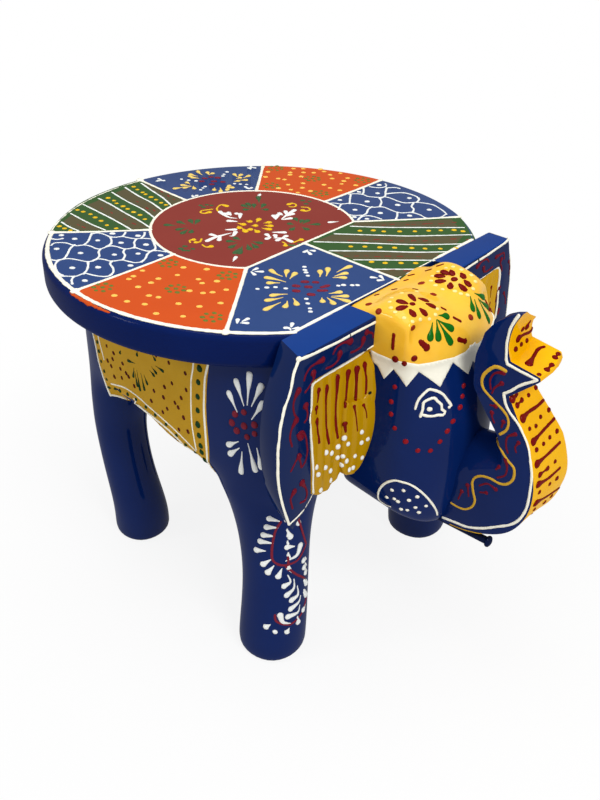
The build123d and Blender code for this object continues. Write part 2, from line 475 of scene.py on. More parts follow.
def add_node(tree, kind, links=None, **settings):
    """A node with its settings, and links from other nodes' sockets into it."""
    node = tree.nodes.new(kind)
    for name, value in settings.items():
        setattr(node, name, value)
    for socket, source in (links or {}).items():
        if isinstance(source, bpy.types.NodeSocket):
            tree.links.new(source, node.inputs[socket])
        else:
            node.inputs[socket].default_value = source
    return node


def brushed_enamel_group():
    """Enamel brushed on carved wood: cloudy colour, fine brush lines and a faint carved swell."""
    tree, start, end = new_group(
        "brushed_enamel",
        [
            ("Colour", "NodeSocketColor", (0.5, 0.5, 0.5, 1)),
            ("Deep colour", "NodeSocketColor", (0.4, 0.4, 0.4, 1)),
            ("Cloud size", "NodeSocketFloat", 40.0),
            ("Cloud", "NodeSocketFloat", 0.5),
            ("Line stretch", "NodeSocketVector", (1, 1, 8)),
            ("Line size", "NodeSocketFloat", 220.0),
            ("Line depth", "NodeSocketFloat", 0.08),
            ("Swell depth", "NodeSocketFloat", 0.3),
            ("Gloss", "NodeSocketFloat", 0.25),
        ],
        [
            ("Colour", "NodeSocketColor"),
            ("Roughness", "NodeSocketFloat"),
            ("Normal", "NodeSocketVector"),
        ],
    )
    place = add_node(tree, "ShaderNodeTexCoord").outputs["Object"]
    give = start.outputs
    clouds = add_node(tree, "ShaderNodeTexNoise", {
        "Vector": place, "Scale": give["Cloud size"], "Detail": 3.0, "Roughness": 0.55})
    amount = add_node(tree, "ShaderNodeMath", {0: clouds.outputs["Fac"], 1: give["Cloud"]},
                      operation="MULTIPLY")
    colour = add_node(tree, "ShaderNodeMix", {
        "Factor": amount.outputs[0], "A": give["Colour"], "B": give["Deep colour"]},
        data_type="RGBA")
    # The Mix node's colour sockets share their names with its float ones.
    tree.links.new(give["Colour"], colour.inputs[6])
    tree.links.new(give["Deep colour"], colour.inputs[7])
    stretched = add_node(tree, "ShaderNodeVectorMath", {0: place, 1: give["Line stretch"]},
                         operation="MULTIPLY")
    lines = add_node(tree, "ShaderNodeTexNoise", {
        "Vector": stretched.outputs[0], "Scale": give["Line size"], "Detail": 2.0})
    swell = add_node(tree, "ShaderNodeTexNoise", {"Vector": place, "Scale": 38.0, "Detail": 1.0})
    fine = add_node(tree, "ShaderNodeMath", {0: lines.outputs["Fac"], 1: give["Line depth"]},
                    operation="MULTIPLY")
    broad = add_node(tree, "ShaderNodeMath", {0: swell.outputs["Fac"], 1: give["Swell depth"]},
                     operation="MULTIPLY")
    height = add_node(tree, "ShaderNodeMath", {0: fine.outputs[0], 1: broad.outputs[0]},
                      operation="ADD")
    bump = add_node(tree, "ShaderNodeBump", {
        "Height": height.outputs[0], "Distance": 0.001, "Strength": 1.0})
    patchy = add_node(tree, "ShaderNodeMapRange", {
        "Value": clouds.outputs["Fac"], "From Min": 0.3, "From Max": 0.7,
        "To Min": -0.05, "To Max": 0.07})
    rough = add_node(tree, "ShaderNodeMath", {0: patchy.outputs[0], 1: give["Gloss"]},
                     operation="ADD", use_clamp=True)
    tree.links.new(colour.outputs[2], end.inputs["Colour"])
    tree.links.new(rough.outputs[0], end.inputs["Roughness"])
    tree.links.new(bump.outputs[0], end.inputs["Normal"])
    return tree


ENAMEL = brushed_enamel_group()


def linear(colour):
    """A written screen colour, 0 to 255 a channel, as the shader's linear one."""
    return tuple(
        (c / 255 / 12.92 if c / 255 <= 0.04045 else ((c / 255 + 0.055) / 1.055) ** 2.4)
        for c in colour
    ) + (1.0,)


def new_finish(name):
    """An empty material with its node tree and its shader."""
    finish = bpy.data.materials.new(name)
    finish.use_nodes = True
    return finish, finish.node_tree, finish.node_tree.nodes["Principled BSDF"]


def enamel(name, colour, deep, coat=0.1, **values):
    """A glossy enamel finish, with clouds of a deeper colour."""
    finish, tree, shader = new_finish(name)
    group = add_node(tree, "ShaderNodeGroup", node_tree=ENAMEL)
    group.inputs["Colour"].default_value = linear(colour)
    group.inputs["Deep colour"].default_value = linear(deep)
    for title, value in values.items():
        group.inputs[title.replace("_", " ").capitalize()].default_value = value
    for given, taken in (("Colour", "Base Color"), ("Roughness",) * 2, ("Normal",) * 2):
        tree.links.new(group.outputs[given], shader.inputs[taken])
    shader.inputs["Specular IOR Level"].default_value = 0.0
    shader.inputs["Coat Weight"].default_value = coat
    shader.inputs["Coat Roughness"].default_value = 0.05
    return finish


blue = enamel("ultramarine_enamel", (8, 35, 94), (3, 24, 76), coat=0.2)
# The seat's top blue is painted lighter than the rim's blue below: a painted sheen of the lit top
# over the plank's one blue paint.
seat_blue_painted_sheen = enamel("seat_blue_painted_sheen_enamel", (50, 74, 126), (36, 60, 112))
rim_blue = enamel("rim_blue_enamel", (4, 28, 88), (2, 18, 70), line_stretch=(1, 1, 14),
                  line_depth=0.3)
# The ears' blue is a little darker than the body's: painted shade on the ear faces.
ear_shaded_blue = enamel("ear_blue_painted_shade_enamel", (10, 34, 84), (6, 24, 70), coat=0.2)
# The ear's top face takes a lighter blue than the ear's front: a painted sheen of the lit top.
ear_top_sheen_blue = enamel("ear_top_painted_sheen_enamel", (16, 60, 134), (10, 48, 118), coat=0.15)
orange = enamel("orange_enamel", (210, 84, 30), (198, 74, 25), cloud=0.6)
green = enamel("green_enamel", (58, 92, 46), (46, 82, 44))
brown_green = enamel("brown_green_enamel", (92, 84, 58), (84, 80, 54))
maroon = enamel("maroon_enamel", (140, 58, 48), (126, 44, 40))
ochre = enamel("ochre_enamel", (206, 162, 44), (186, 138, 18), cloud=0.9)
yellow = enamel("yellow_enamel", (255, 210, 78), (250, 176, 10), coat=0.4, cloud=1.0)
trunk_yellow = enamel("trunk_yellow_enamel", (250, 192, 10), (238, 168, 0), coat=0.16,
                      cloud=0.8)
# The near ear's lobes are painted darker than the trunk's yellow: painted shade on the ear face.
near_ear_shaded_yellow = enamel("near_ear_yellow_painted_shade_enamel", (190, 144, 4), (172, 124, 1), coat=0.2)
# The far ear's lobes are painted lighter than the near ear's: painted light falling on the far
# ear.
far_ear_lit_yellow = enamel("far_ear_yellow_painted_light_enamel", (212, 162, 6), (196, 142, 3), coat=0.2)
nail_blue = enamel("painted_nail_enamel", (8, 24, 66), (4, 14, 46))
raw_dowel = enamel("raw_dowel_wood", (176, 128, 78), (140, 96, 54), coat=0.0,
                   line_stretch=(1, 1, 14), line_depth=0.3)
dull_steel = enamel("dull_nail_steel", (120, 118, 112), (92, 90, 86), coat=0.3)
filler = enamel("filler_putty", (206, 196, 172), (186, 174, 148), coat=0.0)
cream = enamel("cream_cone_paint", (255, 252, 236), (246, 240, 216), swell_depth=0.6)
white = enamel("white_cone_paint", (248, 250, 246), (226, 230, 226), swell_depth=0.6)
scroll_red = enamel("scroll_red_cone_paint", (116, 20, 38), (98, 14, 36))
dark_red = enamel("dark_red_cone_paint", (120, 16, 12), (100, 8, 8))
pale_yellow = enamel("pale_yellow_cone_paint", (246, 216, 122), (238, 196, 88))
ring_cream = enamel("ring_dot_cone_paint", (255, 236, 160), (250, 222, 132))
bright_yellow = enamel("bright_yellow_cone_paint", (240, 196, 40), (224, 172, 24))
leaf_green = enamel("leaf_green_cone_paint", (22, 110, 26), (12, 88, 18))
sea_green = enamel("sea_green_cone_paint", (62, 100, 62), (70, 90, 54))
orange_green = enamel("orange_field_green", (104, 122, 52), (120, 110, 44))
orange_dot_yellow = enamel("orange_field_yellow", (250, 204, 100), (242, 184, 74))
berry_red = enamel("berry_red_cone_paint", (130, 38, 54), (112, 32, 50))
dull_red = enamel("dull_red_dashes", (142, 52, 44), (126, 42, 40))
line_yellow = enamel("yellow_line_paint", (214, 168, 52), (196, 150, 40))
cloth_green = enamel("saddle_cloth_green", (26, 64, 32), (16, 50, 24))
cloth_red = enamel("saddle_cloth_red", (92, 28, 20), (74, 18, 14))
cheek_red = enamel("cheek_dot_cone_paint", (150, 25, 35), (130, 18, 28))
cap_brown = enamel("cap_dot_cone_paint", (150, 50, 25), (130, 36, 20))
# Nail pits as black dots: painted shade of the sunk hollows over the nail heads.
nail_pit_shade_black = enamel("nail_pit_painted_shade_enamel", (22, 30, 26), (10, 14, 16))


# ---------------------------------------------------------------- seat

MEDALLION = (-13, 6)
MEDALLION_RADIUS = 61.5
CHORD_X = 26.5
RIM = SEAT_RADIUS - 1.6
PLANK_RADIUS = SEAT_RADIUS + 2
TOP_EDGE_ROUND, UNDER_EDGE_ROUND = 3.8, 4.6
# Places of the seat's finishes; place 0 is its rim, place 1 its top, whose lighter blue is a
# painted sheen.
SHEEN_TOP, IN_ORANGE, IN_GREEN, IN_MAROON, IN_BROWN = range(1, 6)


def on_medallion(degrees):
    a = math.radians(degrees)
    return Vector((MEDALLION[0] + MEDALLION_RADIUS * math.cos(a),
                   MEDALLION[1] + MEDALLION_RADIUS * math.sin(a)))


def at_the_back(degrees):
    """One round the far and back rim, where its edge was eased less, and zero at the front."""
    degrees %= 360
    return held((degrees - 40) / 20) * held((225 - degrees) / 25)


def rim_at(degrees):
    """Radius of the flat of the seat's top."""
    return RIM + 2.6 * at_the_back(degrees)


def on_rim(degrees):
    reach = rim_at(degrees)
    return Vector((reach * math.cos(math.radians(degrees)),
                   reach * math.sin(math.radians(degrees))))


def rim_arc(start, end):
    """Points along the rim between two headings."""
    count = max(2, round(abs(end - start) / 2))
    return [on_rim(start + (end - start) * k / count) for k in range(count + 1)]


CHORD_TURN = math.degrees(math.acos((CHORD_X - MEDALLION[0]) / MEDALLION_RADIUS))
NEAR_CORNER = on_medallion(-CHORD_TURN)
FAR_CORNER = on_medallion(CHORD_TURN)

# The lines that part the painted fields run from the medallion out to the rim, in order
# round the seat: where each starts on the medallion and where it meets the rim, in degrees.
SPOKES = {
    "far_front": (CHORD_TURN, 56.5),
    "far": (86, 93.5),
    "back_far": (132, 133),
    "back": (178, 174),
    "back_near": (-131, -138),
    "near": (-93, -98.5),
    "near_front": (-CHORD_TURN, -55),
}
FRONT_SPOKE = (Vector((CHORD_X, 7)), Vector((FRONT_CUT, 4)))
EDGE_TURN = math.degrees(math.acos((FRONT_CUT - 1) / RIM))


def field_between(first, second):
    """Outline of the painted field between two spokes, in the order of their angles."""
    inner_a, outer_a = SPOKES[first]
    inner_b, outer_b = SPOKES[second]
    if inner_b < inner_a:
        inner_b += 360
    if outer_b < outer_a:
        outer_b += 360
    return (rim_arc(outer_a, outer_b)
            + arc(MEDALLION, MEDALLION_RADIUS, inner_b, inner_a))


MEDALLION_FIELD = arc(MEDALLION, MEDALLION_RADIUS, CHORD_TURN, 360 - CHORD_TURN)
FAR_GREEN_FIELD = (
    list(FRONT_SPOKE) + rim_arc(EDGE_TURN, SPOKES["far_front"][1]) + [FAR_CORNER]
)
BACK_ORANGE_FIELD = field_between("far", "back_far")
BACK_GREEN_FIELD = field_between("back", "back_near")
NEAR_ORANGE_FIELD = field_between("near", "near_front")
COAT = 0.15


def seat_plank():
    """The round plank, flat at the front, with its rim eased over by hand."""
    bm = bmesh.new()
    bmesh.ops.create_circle(bm, cap_ends=True, segments=240, radius=PLANK_RADIUS,
                            matrix=Matrix.Translation((0, 0, SEAT_UNDER)))
    grown = bmesh.ops.extrude_face_region(bm, geom=bm.faces[:])
    moved = [v for v in grown["geom"] if isinstance(v, bmesh.types.BMVert)]
    bmesh.ops.translate(bm, vec=(0, 0, SEAT_TOP - SEAT_UNDER), verts=moved)
    bmesh.ops.recalc_face_normals(bm, faces=bm.faces[:])
    ease_edges(bm, rim_edges(bm, 2, SEAT_TOP), TOP_EDGE_ROUND, 6)
    ease_edges(bm, rim_edges(bm, 2, SEAT_UNDER), UNDER_EDGE_ROUND, 5)
    for vert in bm.verts:
        flat = vert.co.to_2d()
        if vert.co.z > SEAT_TOP - 3.9 and flat.length > SEAT_RADIUS - 6:
            fuller = 0.75 * at_the_back(math.degrees(math.atan2(flat.y, flat.x)))
            vert.co.xy = flat.normalized() * (flat.length * (1 - fuller) + PLANK_RADIUS * fuller)
    trim(bm, (FRONT_CUT, 0, 0), (1, 0, 0))
    for face in bm.faces:
        middle = face.calc_center_median()
        heading = math.degrees(math.atan2(middle.y, middle.x))
        # Faces that look up take the lighter top blue, a painted sheen; the rim and underside keep
        # the rim blue.
        if face.normal.z > 0.97:
            face.material_index = SHEEN_TOP
        elif face.normal.z > 0.3 and middle.z > SEAT_TOP - 4:
            for start, end, finish in FIELDS_ROUND_THE_EDGE:
                if start < heading % 360 < end:
                    face.material_index = finish
    return bm


# The fields that run over the rounded edge: their headings on the rim and their paint.
EDGE_HEADINGS = [EDGE_TURN] + [SPOKES[name][1] % 360 for name in
                               ("far_front", "far", "back_far", "back", "back_near")]
FIELDS_ROUND_THE_EDGE = list(zip(EDGE_HEADINGS, EDGE_HEADINGS[1:],
                                 (IN_GREEN, SHEEN_TOP, IN_ORANGE, SHEEN_TOP, IN_GREEN)))


def coat_of_paint(outline, finish_index, thick=COAT):
    """One painted field of the seat top, a film thick."""
    bm = sawn(outline, lambda u, v: (u, v, SEAT_TOP - COAT), (0, 0, COAT + thick))
    for face in bm.faces:
        face.material_index = finish_index
    return bm


def off_medallion(place):
    """A place of the striped fields, held out of the medallion."""
    out = Vector(place) - Vector(MEDALLION)
    if place[0] > CHORD_X or out.length > MEDALLION_RADIUS:
        return place
    return tuple(Vector(MEDALLION) + out.normalized() * MEDALLION_RADIUS)


def brown_band(before, after, count=8):
    """A band between two lines of a striped field, that leaves a green seam all round."""
    sides = []
    for line in (before, after):
        route = flat_route([off_medallion(p) for p in line], 1.0)
        if route[0].length > route[-1].length:
            route.reverse()
        sides.append([route[round(k * (len(route) - 1) * 0.93 / count)] for k in range(count + 1)])
    seam = 0.1
    outline = [a.lerp(b, seam) for a, b in zip(*sides)]
    outline += [a.lerp(b, 1 - seam) for a, b in zip(*sides)][::-1]
    return [(p.x, p.y) for p in outline]


def make_seat():
    shells = [
        seat_plank(),
        coat_of_paint(NEAR_ORANGE_FIELD, IN_ORANGE),
        coat_of_paint(BACK_ORANGE_FIELD, IN_ORANGE),
        coat_of_paint(FAR_GREEN_FIELD, IN_GREEN),
        coat_of_paint(BACK_GREEN_FIELD, IN_GREEN),
        coat_of_paint(MEDALLION_FIELD, IN_MAROON),
    ]
    for stripes in (FRONT_STRIPES, BACK_STRIPES):
        for before, after in list(zip(stripes, stripes[1:]))[::2]:
            shells.append(coat_of_paint(brown_band(before, after), IN_BROWN, 1.4 * COAT))
    piece("painted_seat_plank", joined(shells),
          [rim_blue, seat_blue_painted_sheen, orange, green, maroon, brown_green], ["seat_top"])


# Scale net of the two netted fields: wavy courses, the short links between them, and the
# dot in each scale.
NEAR_NET_COURSES = [
    [(-73.5, -68), (-72, -64.5), (-67.5, -63.5), (-62.5, -63.5), (-59, -61.5), (-57.5, -58.5),
    (-53, -57), (-49.5, -55.5), (-46.5, -52), (-43, -49.5)], [(-76.5, -94.5), (-78, -91.5),
    (-76, -88.5), (-73, -86.5), (-68.5, -86), (-65.5, -85), (-63.5, -81.5), (-59.5, -80),
    (-54.5, -80), (-52, -78.5), (-52, -75), (-51, -71.5), (-47, -70), (-42.5, -69.5),
    (-40.5, -67), (-39.5, -64), (-35.5, -63.5), (-30.5, -62.5), (-29, -60.5), (-26.5, -58),
    (-22, -56)], [(-61, -107), (-57, -105.5), (-56, -102.5), (-54.5, -99.5), (-51, -97.5),
    (-46.5, -96), (-43, -94.5), (-42, -92), (-42, -88.5), (-39, -86.5), (-34.5, -85.5),
    (-32.5, -82.5), (-31, -80), (-27, -79), (-23, -77.5), (-21.5, -74.5)], [(-38.5, -116.5),
    (-36, -114), (-32.5, -111), (-32.5, -107), (-32, -105), (-28, -104), (-24, -102.5),
    (-20.5, -100), (-20, -96.5)]
]
NEAR_NET_LINKS = [
    [(-74, -67.5), (-70.5, -71.5), (-66, -76.5), (-63.5, -81.5)], [(-62.5, -63.5), (-58, -66),
    (-53.5, -70), (-52.5, -74)], [(-61, -53), (-59, -55.5), (-57.5, -58.5)], [(-52.5, -45.5),
    (-49.5, -48.5), (-47.5, -52.5)], [(-48.5, -55.5), (-45.5, -59.5), (-42, -62), (-39.5, -64.5)],
    [(-41, -49.5), (-35.5, -53), (-31, -56), (-29, -58.5), (-29, -61)], [(-67.5, -85), (-65, -90),
    (-60, -95.5), (-56, -101), (-56.5, -104)], [(-52, -78.5), (-49.5, -82), (-45, -85),
    (-43, -88), (-42, -92)], [(-42, -69), (-39.5, -72.5), (-35, -75), (-31, -80)], [(-29, -60.5),
    (-27.5, -65), (-23.5, -70), (-21.5, -74.5)], [(-56.5, -104), (-54, -108), (-49.5, -111.5),
    (-43, -114.5), (-38, -115)], [(-43, -94.5), (-38.5, -98), (-34.5, -102), (-32, -106)],
    [(-34, -85), (-32, -88), (-26.5, -90.5), (-22, -94), (-20, -98)], [(-33, -111.5),
    (-30.5, -115), (-26, -118)], [(-84, -88.5), (-81, -87), (-80, -84)]
]
NEAR_NET_DOTS = [
    (-84.5, -81.5), (-74.5, -79.5), (-63, -72), (-50.5, -65), (-38, -57), (-70, -95.5),
    (-55.5, -90), (-40, -78.5), (-31.5, -68.5), (-20.5, -61.5), (-42.5, -105.5), (-33, -95.5),
    (-22, -82), (-24.5, -111), (-65, -59.5), (-51.5, -51.5)
]
FAR_NET_COURSES = [
    [(-5, 110), (-0.5, 112), (2, 115), (2, 119), (-1, 122)], [(-6, 89), (-4, 92.5), (0.5, 95),
    (5.5, 94.5), (9.5, 96.5), (12.5, 98.5), (14, 101.5), (18.5, 102), (24, 101), (29, 101),
    (32, 103.5), (34.5, 107), (38.5, 109.5), (45, 111), (51, 109), (57, 106), (61, 103)],
    [(-4.5, 67.5), (-2.5, 70), (1.5, 71.5), (4.5, 76), (7.5, 78), (12, 79.5), (17, 79.5),
    (20.5, 81.5), (22.5, 84.5), (25.5, 86), (31, 85), (36.5, 84.5), (40, 86.5), (42.5, 90),
    (46, 91), (50.5, 90.5), (55, 89), (58.5, 91.5), (61, 96), (60.5, 102.5)], [(25.5, 60),
    (25, 64), (27, 67.5), (31, 68.5), (36, 68.5)], [(9, 64), (12.5, 62), (17.5, 60.5), (21.5, 63),
    (23.5, 65.5)]
]
FAR_NET_LINKS = [
    [(4.5, 116), (8.5, 109.5), (13, 103), (13.5, 98)], [(13, 97), (18, 92.5), (22, 85.5)],
    [(-6, 104.5), (-2, 99.5), (0.5, 95)], [(-4.5, 89), (0, 82.5), (5, 76)], [(19, 81), (20, 76),
    (23.5, 69.5), (24, 64.5), (26.5, 57.5)], [(2, 71), (4, 67), (6.5, 63)], [(36.5, 84.5),
    (40, 79.5), (42.5, 75)], [(34.5, 104.5), (37, 99), (40.5, 96.5), (43.5, 91)], [(4.5, 116),
    (8, 120.5), (11.5, 121)], [(35, 107.5), (33, 113), (31, 115)], [(11.5, 107), (14, 111.5),
    (18, 116), (23.5, 117), (29, 116), (33, 113)]
]
FAR_NET_DOTS = [
    (-2.5, 117), (-4, 97), (6.5, 103.5), (-3.5, 76.5), (27, 110.5), (11, 86.5), (29, 95),
    (14.5, 69.5), (29.5, 76), (48.5, 102), (45.5, 85), (22, 59.5), (29.5, 62.5)
]

# Lines of the two striped fields, from the front edge and from the medallion out to the rim.
# Between a line and the next the bands are brown and green by turns; the green ones hold
# yellow dots and the brown ones red dashes.
FRONT_STRIPES = [
    [(28, 54), (48, 74), (68, 101)], [(30, 46), (48.5, 61), (81, 91.5)], [(30.5, 30), (56, 50.5),
    (67, 60), (90.5, 85)], [(29.5, 12.5), (50, 29.5), (75, 49.5), (94.5, 69.5)], [(44.5, 8.5),
    (65, 27), (81.5, 40.5), (94.5, 53.5)], [(62.5, 8), (96, 38.5)], [(77.5, 4.5), (95.5, 21.5)],
    [(92, 4), (95.5, 7)]
]
FRONT_STRIPE_DOTS = [
    (33.5, 39.5), (38.5, 44), (44, 50), (49.5, 53), (56.5, 59.5), (63, 66), (68.5, 72.5),
    (73.5, 78), (79, 84), (84, 86), (38.5, 12.5), (44, 15.5), (49.5, 21.5), (55.5, 27),
    (62.5, 32), (69, 37.5), (76.5, 44), (82.5, 48.5), (89, 54.5), (95, 61.5), (71.5, 12.5),
    (78, 16.5), (84.5, 22.5), (90.5, 28)
]
FRONT_STRIPE_DASHES = [
    (43.5, 61), (46.5, 65.5), (53.5, 72), (56, 74.5), (60.5, 80), (62.5, 83), (67.5, 87),
    (72, 94.5), (43.5, 28.5), (50, 34.5), (54, 40), (60.5, 44.5), (66, 48.5), (71, 53.5),
    (76, 58), (81, 62.5), (86.5, 72), (93.5, 77.5), (56.5, 9), (60.5, 13), (64.5, 17),
    (69.5, 20.5), (73.5, 25), (78.5, 29.5), (86.5, 36.5), (94, 46), (86.5, 12), (93, 16)
]
BACK_STRIPES = [
    [(-101, -69), (-91.5, -70.5), (-83, -70.5)], [(-108.5, -56.5), (-96, -58), (-84, -59),
    (-72.5, -59)], [(-115.5, -41.5), (-100, -43), (-81.5, -45), (-62, -48)], [(-117.5, -28),
    (-102, -30), (-85.5, -33), (-69, -35.5), (-55.5, -38.5)], [(-120, -15), (-100.5, -19),
    (-82, -21.5), (-63.5, -25)], [(-121.5, -3), (-103, -7.5), (-87, -10), (-67.5, -13.5)],
    [(-119.5, 9.5), (-104, 5), (-87.5, 0.5), (-67.5, -4)], [(-118, 14), (-100, 12), (-74.5, 8)]
]
BACK_STRIPE_DOTS = [
    (-96.5, -74), (-91.5, -74), (-86.5, -73.5), (-110.5, -50), (-105.5, -49.5), (-99, -49),
    (-92.5, -50.5), (-85.5, -51.5), (-77.5, -53.5), (-69.5, -53), (-113.5, -23.5), (-107, -24),
    (-102, -26), (-95, -26.5), (-89.5, -27.5), (-82.5, -28.5), (-76, -29), (-68.5, -31.5),
    (-61.5, -32), (-118, 1.5), (-112, -0.5), (-105.5, -1.5), (-101.5, -2.5), (-95, -3.5),
    (-89, -4.5), (-82.5, -6), (-77.5, -6.5), (-72, -8.5)
]
BACK_STRIPE_DASHES = [
    (-90, -65), (-85, -65), (-101.5, -38), (-91.5, -38.5), (-77, -40), (-67.5, -41), (-95, -15),
    (-81.5, -18.5), (-75.5, -18), (-97.5, 8), (-88.5, 5.5), (-81, 3.5)
]

NEAR_ORANGE_DOTS = [
    (1, -64), (12, -57), (6, -73), (18, -69), (23, -71), (27, -64), (38, -68), (35, -75),
    (32, -79), (25, -82), (32, -96), (42, -91), (47, -81), (44, -104), (-12, -82), (-10, -90),
    (-9, -94), (2, -83), (3, -89), (2, -97), (1, -112), (11, -112), (14, -100), (19, -98),
    (20, -108), (32, -111)
]
NEAR_ORANGE_FLOWERS = [(-9, -66), (26, -55), (18, -85), (55, -95), (-11, -110)]
BACK_ORANGE_DOTS = [
    (-74.5, 85), (-68.5, 76), (-60, 79.5), (-55.5, 81), (-62.5, 94.5), (-59.5, 91),
    (-66.5, 102.5), (-61.5, 107), (-56, 101), (-51.5, 93.5), (-50.5, 105.5), (-41.5, 84),
    (-47, 75), (-47, 65.5), (-39, 69), (-36, 77), (-32, 68), (-28, 76), (-52, 114.5),
    (-47, 112.5), (-39.5, 110), (-33.5, 105), (-36.5, 117.5), (-26.5, 113), (-24.5, 106.5),
    (-22, 101), (-13.5, 105.5), (-29.5, 91.5), (-22.5, 89.5), (-15, 90.5)
]
BACK_ORANGE_FLOWERS = [(-76, 94.5), (-54, 66), (-43, 95.5), (-20.5, 77), (-16.5, 116.5)]

# The two blue fields: yellow petals as head and tail, red hearts, white dots, and the white
# tufts in the corners.
NEAR_PETAL_DROPS = [
    ((38.5, -34), (48, -35.5)), ((43, -42.5), (54, -39.5)), ((48.5, -46.5), (52.5, -42.5)),
    ((45, -28.5), (50, -34.5)), ((50.5, -28), (53, -35)), ((60, -56.5), (64.5, -50)),
    ((62, -62.5), (65.5, -54.5)), ((68.5, -70.5), (68.5, -59.5)), ((73.5, -61.5), (70, -56)),
    ((76, -55.5), (70, -51.5)), ((58.5, -16.5), (63, -22)), ((59.5, -11), (65, -19)),
    ((66.5, -0.5), (66, -11)), ((70.5, -9), (68.5, -16)), ((73.5, -14), (69, -18)),
    ((83, -29.5), (80, -34.5)), ((88.5, -31), (83, -36)), ((93, -35), (83.5, -37)),
    ((89, -42), (82.5, -39)), ((83.5, -44), (80.5, -41))
]
NEAR_HEARTS = [(61.5, -32.5), (66, -29), (61.5, -39.5), (67, -36), (65.5, -44), (74, -42)]
NEAR_LONG_HEARTS = [((73.5, -27.5), (72.5, -31.5)), ((76.5, -33), (74, -35.5))]
NEAR_WHITES = [
    (48.5, -18), (51.5, -21), (54, -23), (57.5, -25.5), (75.5, -47.5), (79.5, -51), (84, -54.5),
    (86.5, -57), (49, -56), (51.5, -51.5), (54.5, -48), (59.5, -45.5), (77.5, -24), (79, -21.5),
    (82.5, -18.5), (84.5, -16.5)
]
NEAR_TUFTS = [
    [(31, -37.5), (31, -41)], [(36, -38.5), (33, -41)], [(35.5, -44), (31.5, -42.5)], [(66, -88),
    (68.5, -91)], [(69, -84), (69, -88)], [(72, -87.5), (69.5, -89.5)], [(88.5, -73),
    (90.5, -76)], [(89, -78.5), (90.5, -77.5), (92.5, -78.5)], [(93.5, -74.5), (92, -77)],
    [(39.5, -2.5), (34.5, 0)], [(35, -2.5), (34.5, 1)], [(38, 2.5), (35.5, 1.5)], [(84, -3.5),
    (86.5, -2)], [(86.5, 1), (90, -1)], [(89, -4), (91, -1.5)]
]
BACK_PETAL_DROPS = [
    ((-110.5, 52.5), (-103, 49.5)), ((-104, 55.5), (-99.5, 53)), ((-100, 56.5), (-100.5, 53.5)),
    ((-109.5, 44.5), (-103.5, 45.5)), ((-107, 41.5), (-100.5, 43)), ((-103.5, 41), (-99.5, 43)),
    ((-99, 31.5), (-95.5, 31)), ((-97.5, 26), (-92.5, 28.5)), ((-92.5, 23.5), (-91.5, 28.5)),
    ((-96, 18), (-94.5, 24)), ((-87, 27), (-91, 30)), ((-75.5, 34), (-78.5, 37.5)),
    ((-70.5, 35), (-75.5, 39.5)), ((-69.5, 40), (-72.5, 45)), ((-74, 46.5), (-72.5, 42)),
    ((-70, 45.5), (-72.5, 42.5)), ((-88, 65.5), (-82.5, 63)), ((-84, 68), (-82.5, 63.5)),
    ((-78.5, 70), (-78.5, 64.5)), ((-76.5, 57.5), (-78, 55)), ((-74, 62.5), (-77, 59.5)),
    ((-80, 63), (-81, 60.5))
]
BACK_HEARTS = [
    (-96.5, 45.5), (-95.5, 50.5), (-87.5, 45.5), (-82.5, 49), (-93.5, 40), (-91, 52.5),
    (-84.5, 40.5)
]
BACK_WHITES = [
    (-106.5, 33.5), (-101.5, 35.5), (-97, 38), (-91, 57.5), (-93, 60.5), (-95, 65.5), (-74.5, 52),
    (-71, 54), (-67.5, 56.5), (-82, 28), (-83.5, 31.5), (-84.5, 34.5)
]
BACK_TUFTS = [
    [(-115.5, 20), (-115, 23)], [(-118, 23.5), (-115, 23.5)], [(-113, 23.5), (-114.5, 22)],
    [(-90.5, 82), (-87.5, 81)], [(-91, 85), (-87.5, 81.5)], [(-87, 85), (-90, 85)], [(-76.5, 16),
    (-79, 17.5)], [(-76, 19), (-76, 16.5)], [(-65, 52.5), (-60.5, 51)], [(-62, 51.5),
    (-60, 51.5)], [(-60.5, 54), (-60.5, 51)]
]

# Leaves, curls and sprays of the medallion.
WHITE_LEAVES = [
    [(-44, 8.5), (-38, 6.5), (-33, 6), (-29, 8)], [(-39.5, 8.5), (-35.5, 10)], [(-39, 11),
    (-35, 9)], [(-32.5, 14.5), (-27.5, 9)], [(-34.5, 13.5), (-32.5, 14.5)], [(-29.5, 1.5),
    (-25, 4.5)], [(-12.5, 42.5), (-11, 35), (-8, 25.5)], [(-15.5, 32), (-12, 31)], [(-15, 37),
    (-11, 33.5)], [(-5, 30.5), (-7.5, 25.5)], [(-9, 37), (-9.5, 31.5)], [(-15.5, 26.5),
    (-11, 23.5)], [(-14.5, 29), (-10.5, 23)], [(-16.5, -29), (-17, -22.5), (-16, -16.5),
    (-15, -11)], [(-21.5, -21), (-17, -20)], [(-12.5, -23.5), (-17, -18)], [(-17, -6),
    (-21, -10)], [(-14, -8.5), (-11, -13.5), (-12.5, -15)], [(7.5, 11), (2, 6.5)], [(19.5, 3.5),
    (13.5, 4), (8.5, 0.5)], [(12.5, -0.5), (12.5, 3)], [(12, 7.5), (12, 4)], [(6.5, 4),
    (9.5, 1.5)], [(2, 1.5), (6, 0)], [(6.5, -3), (6.5, 0.5)]
]
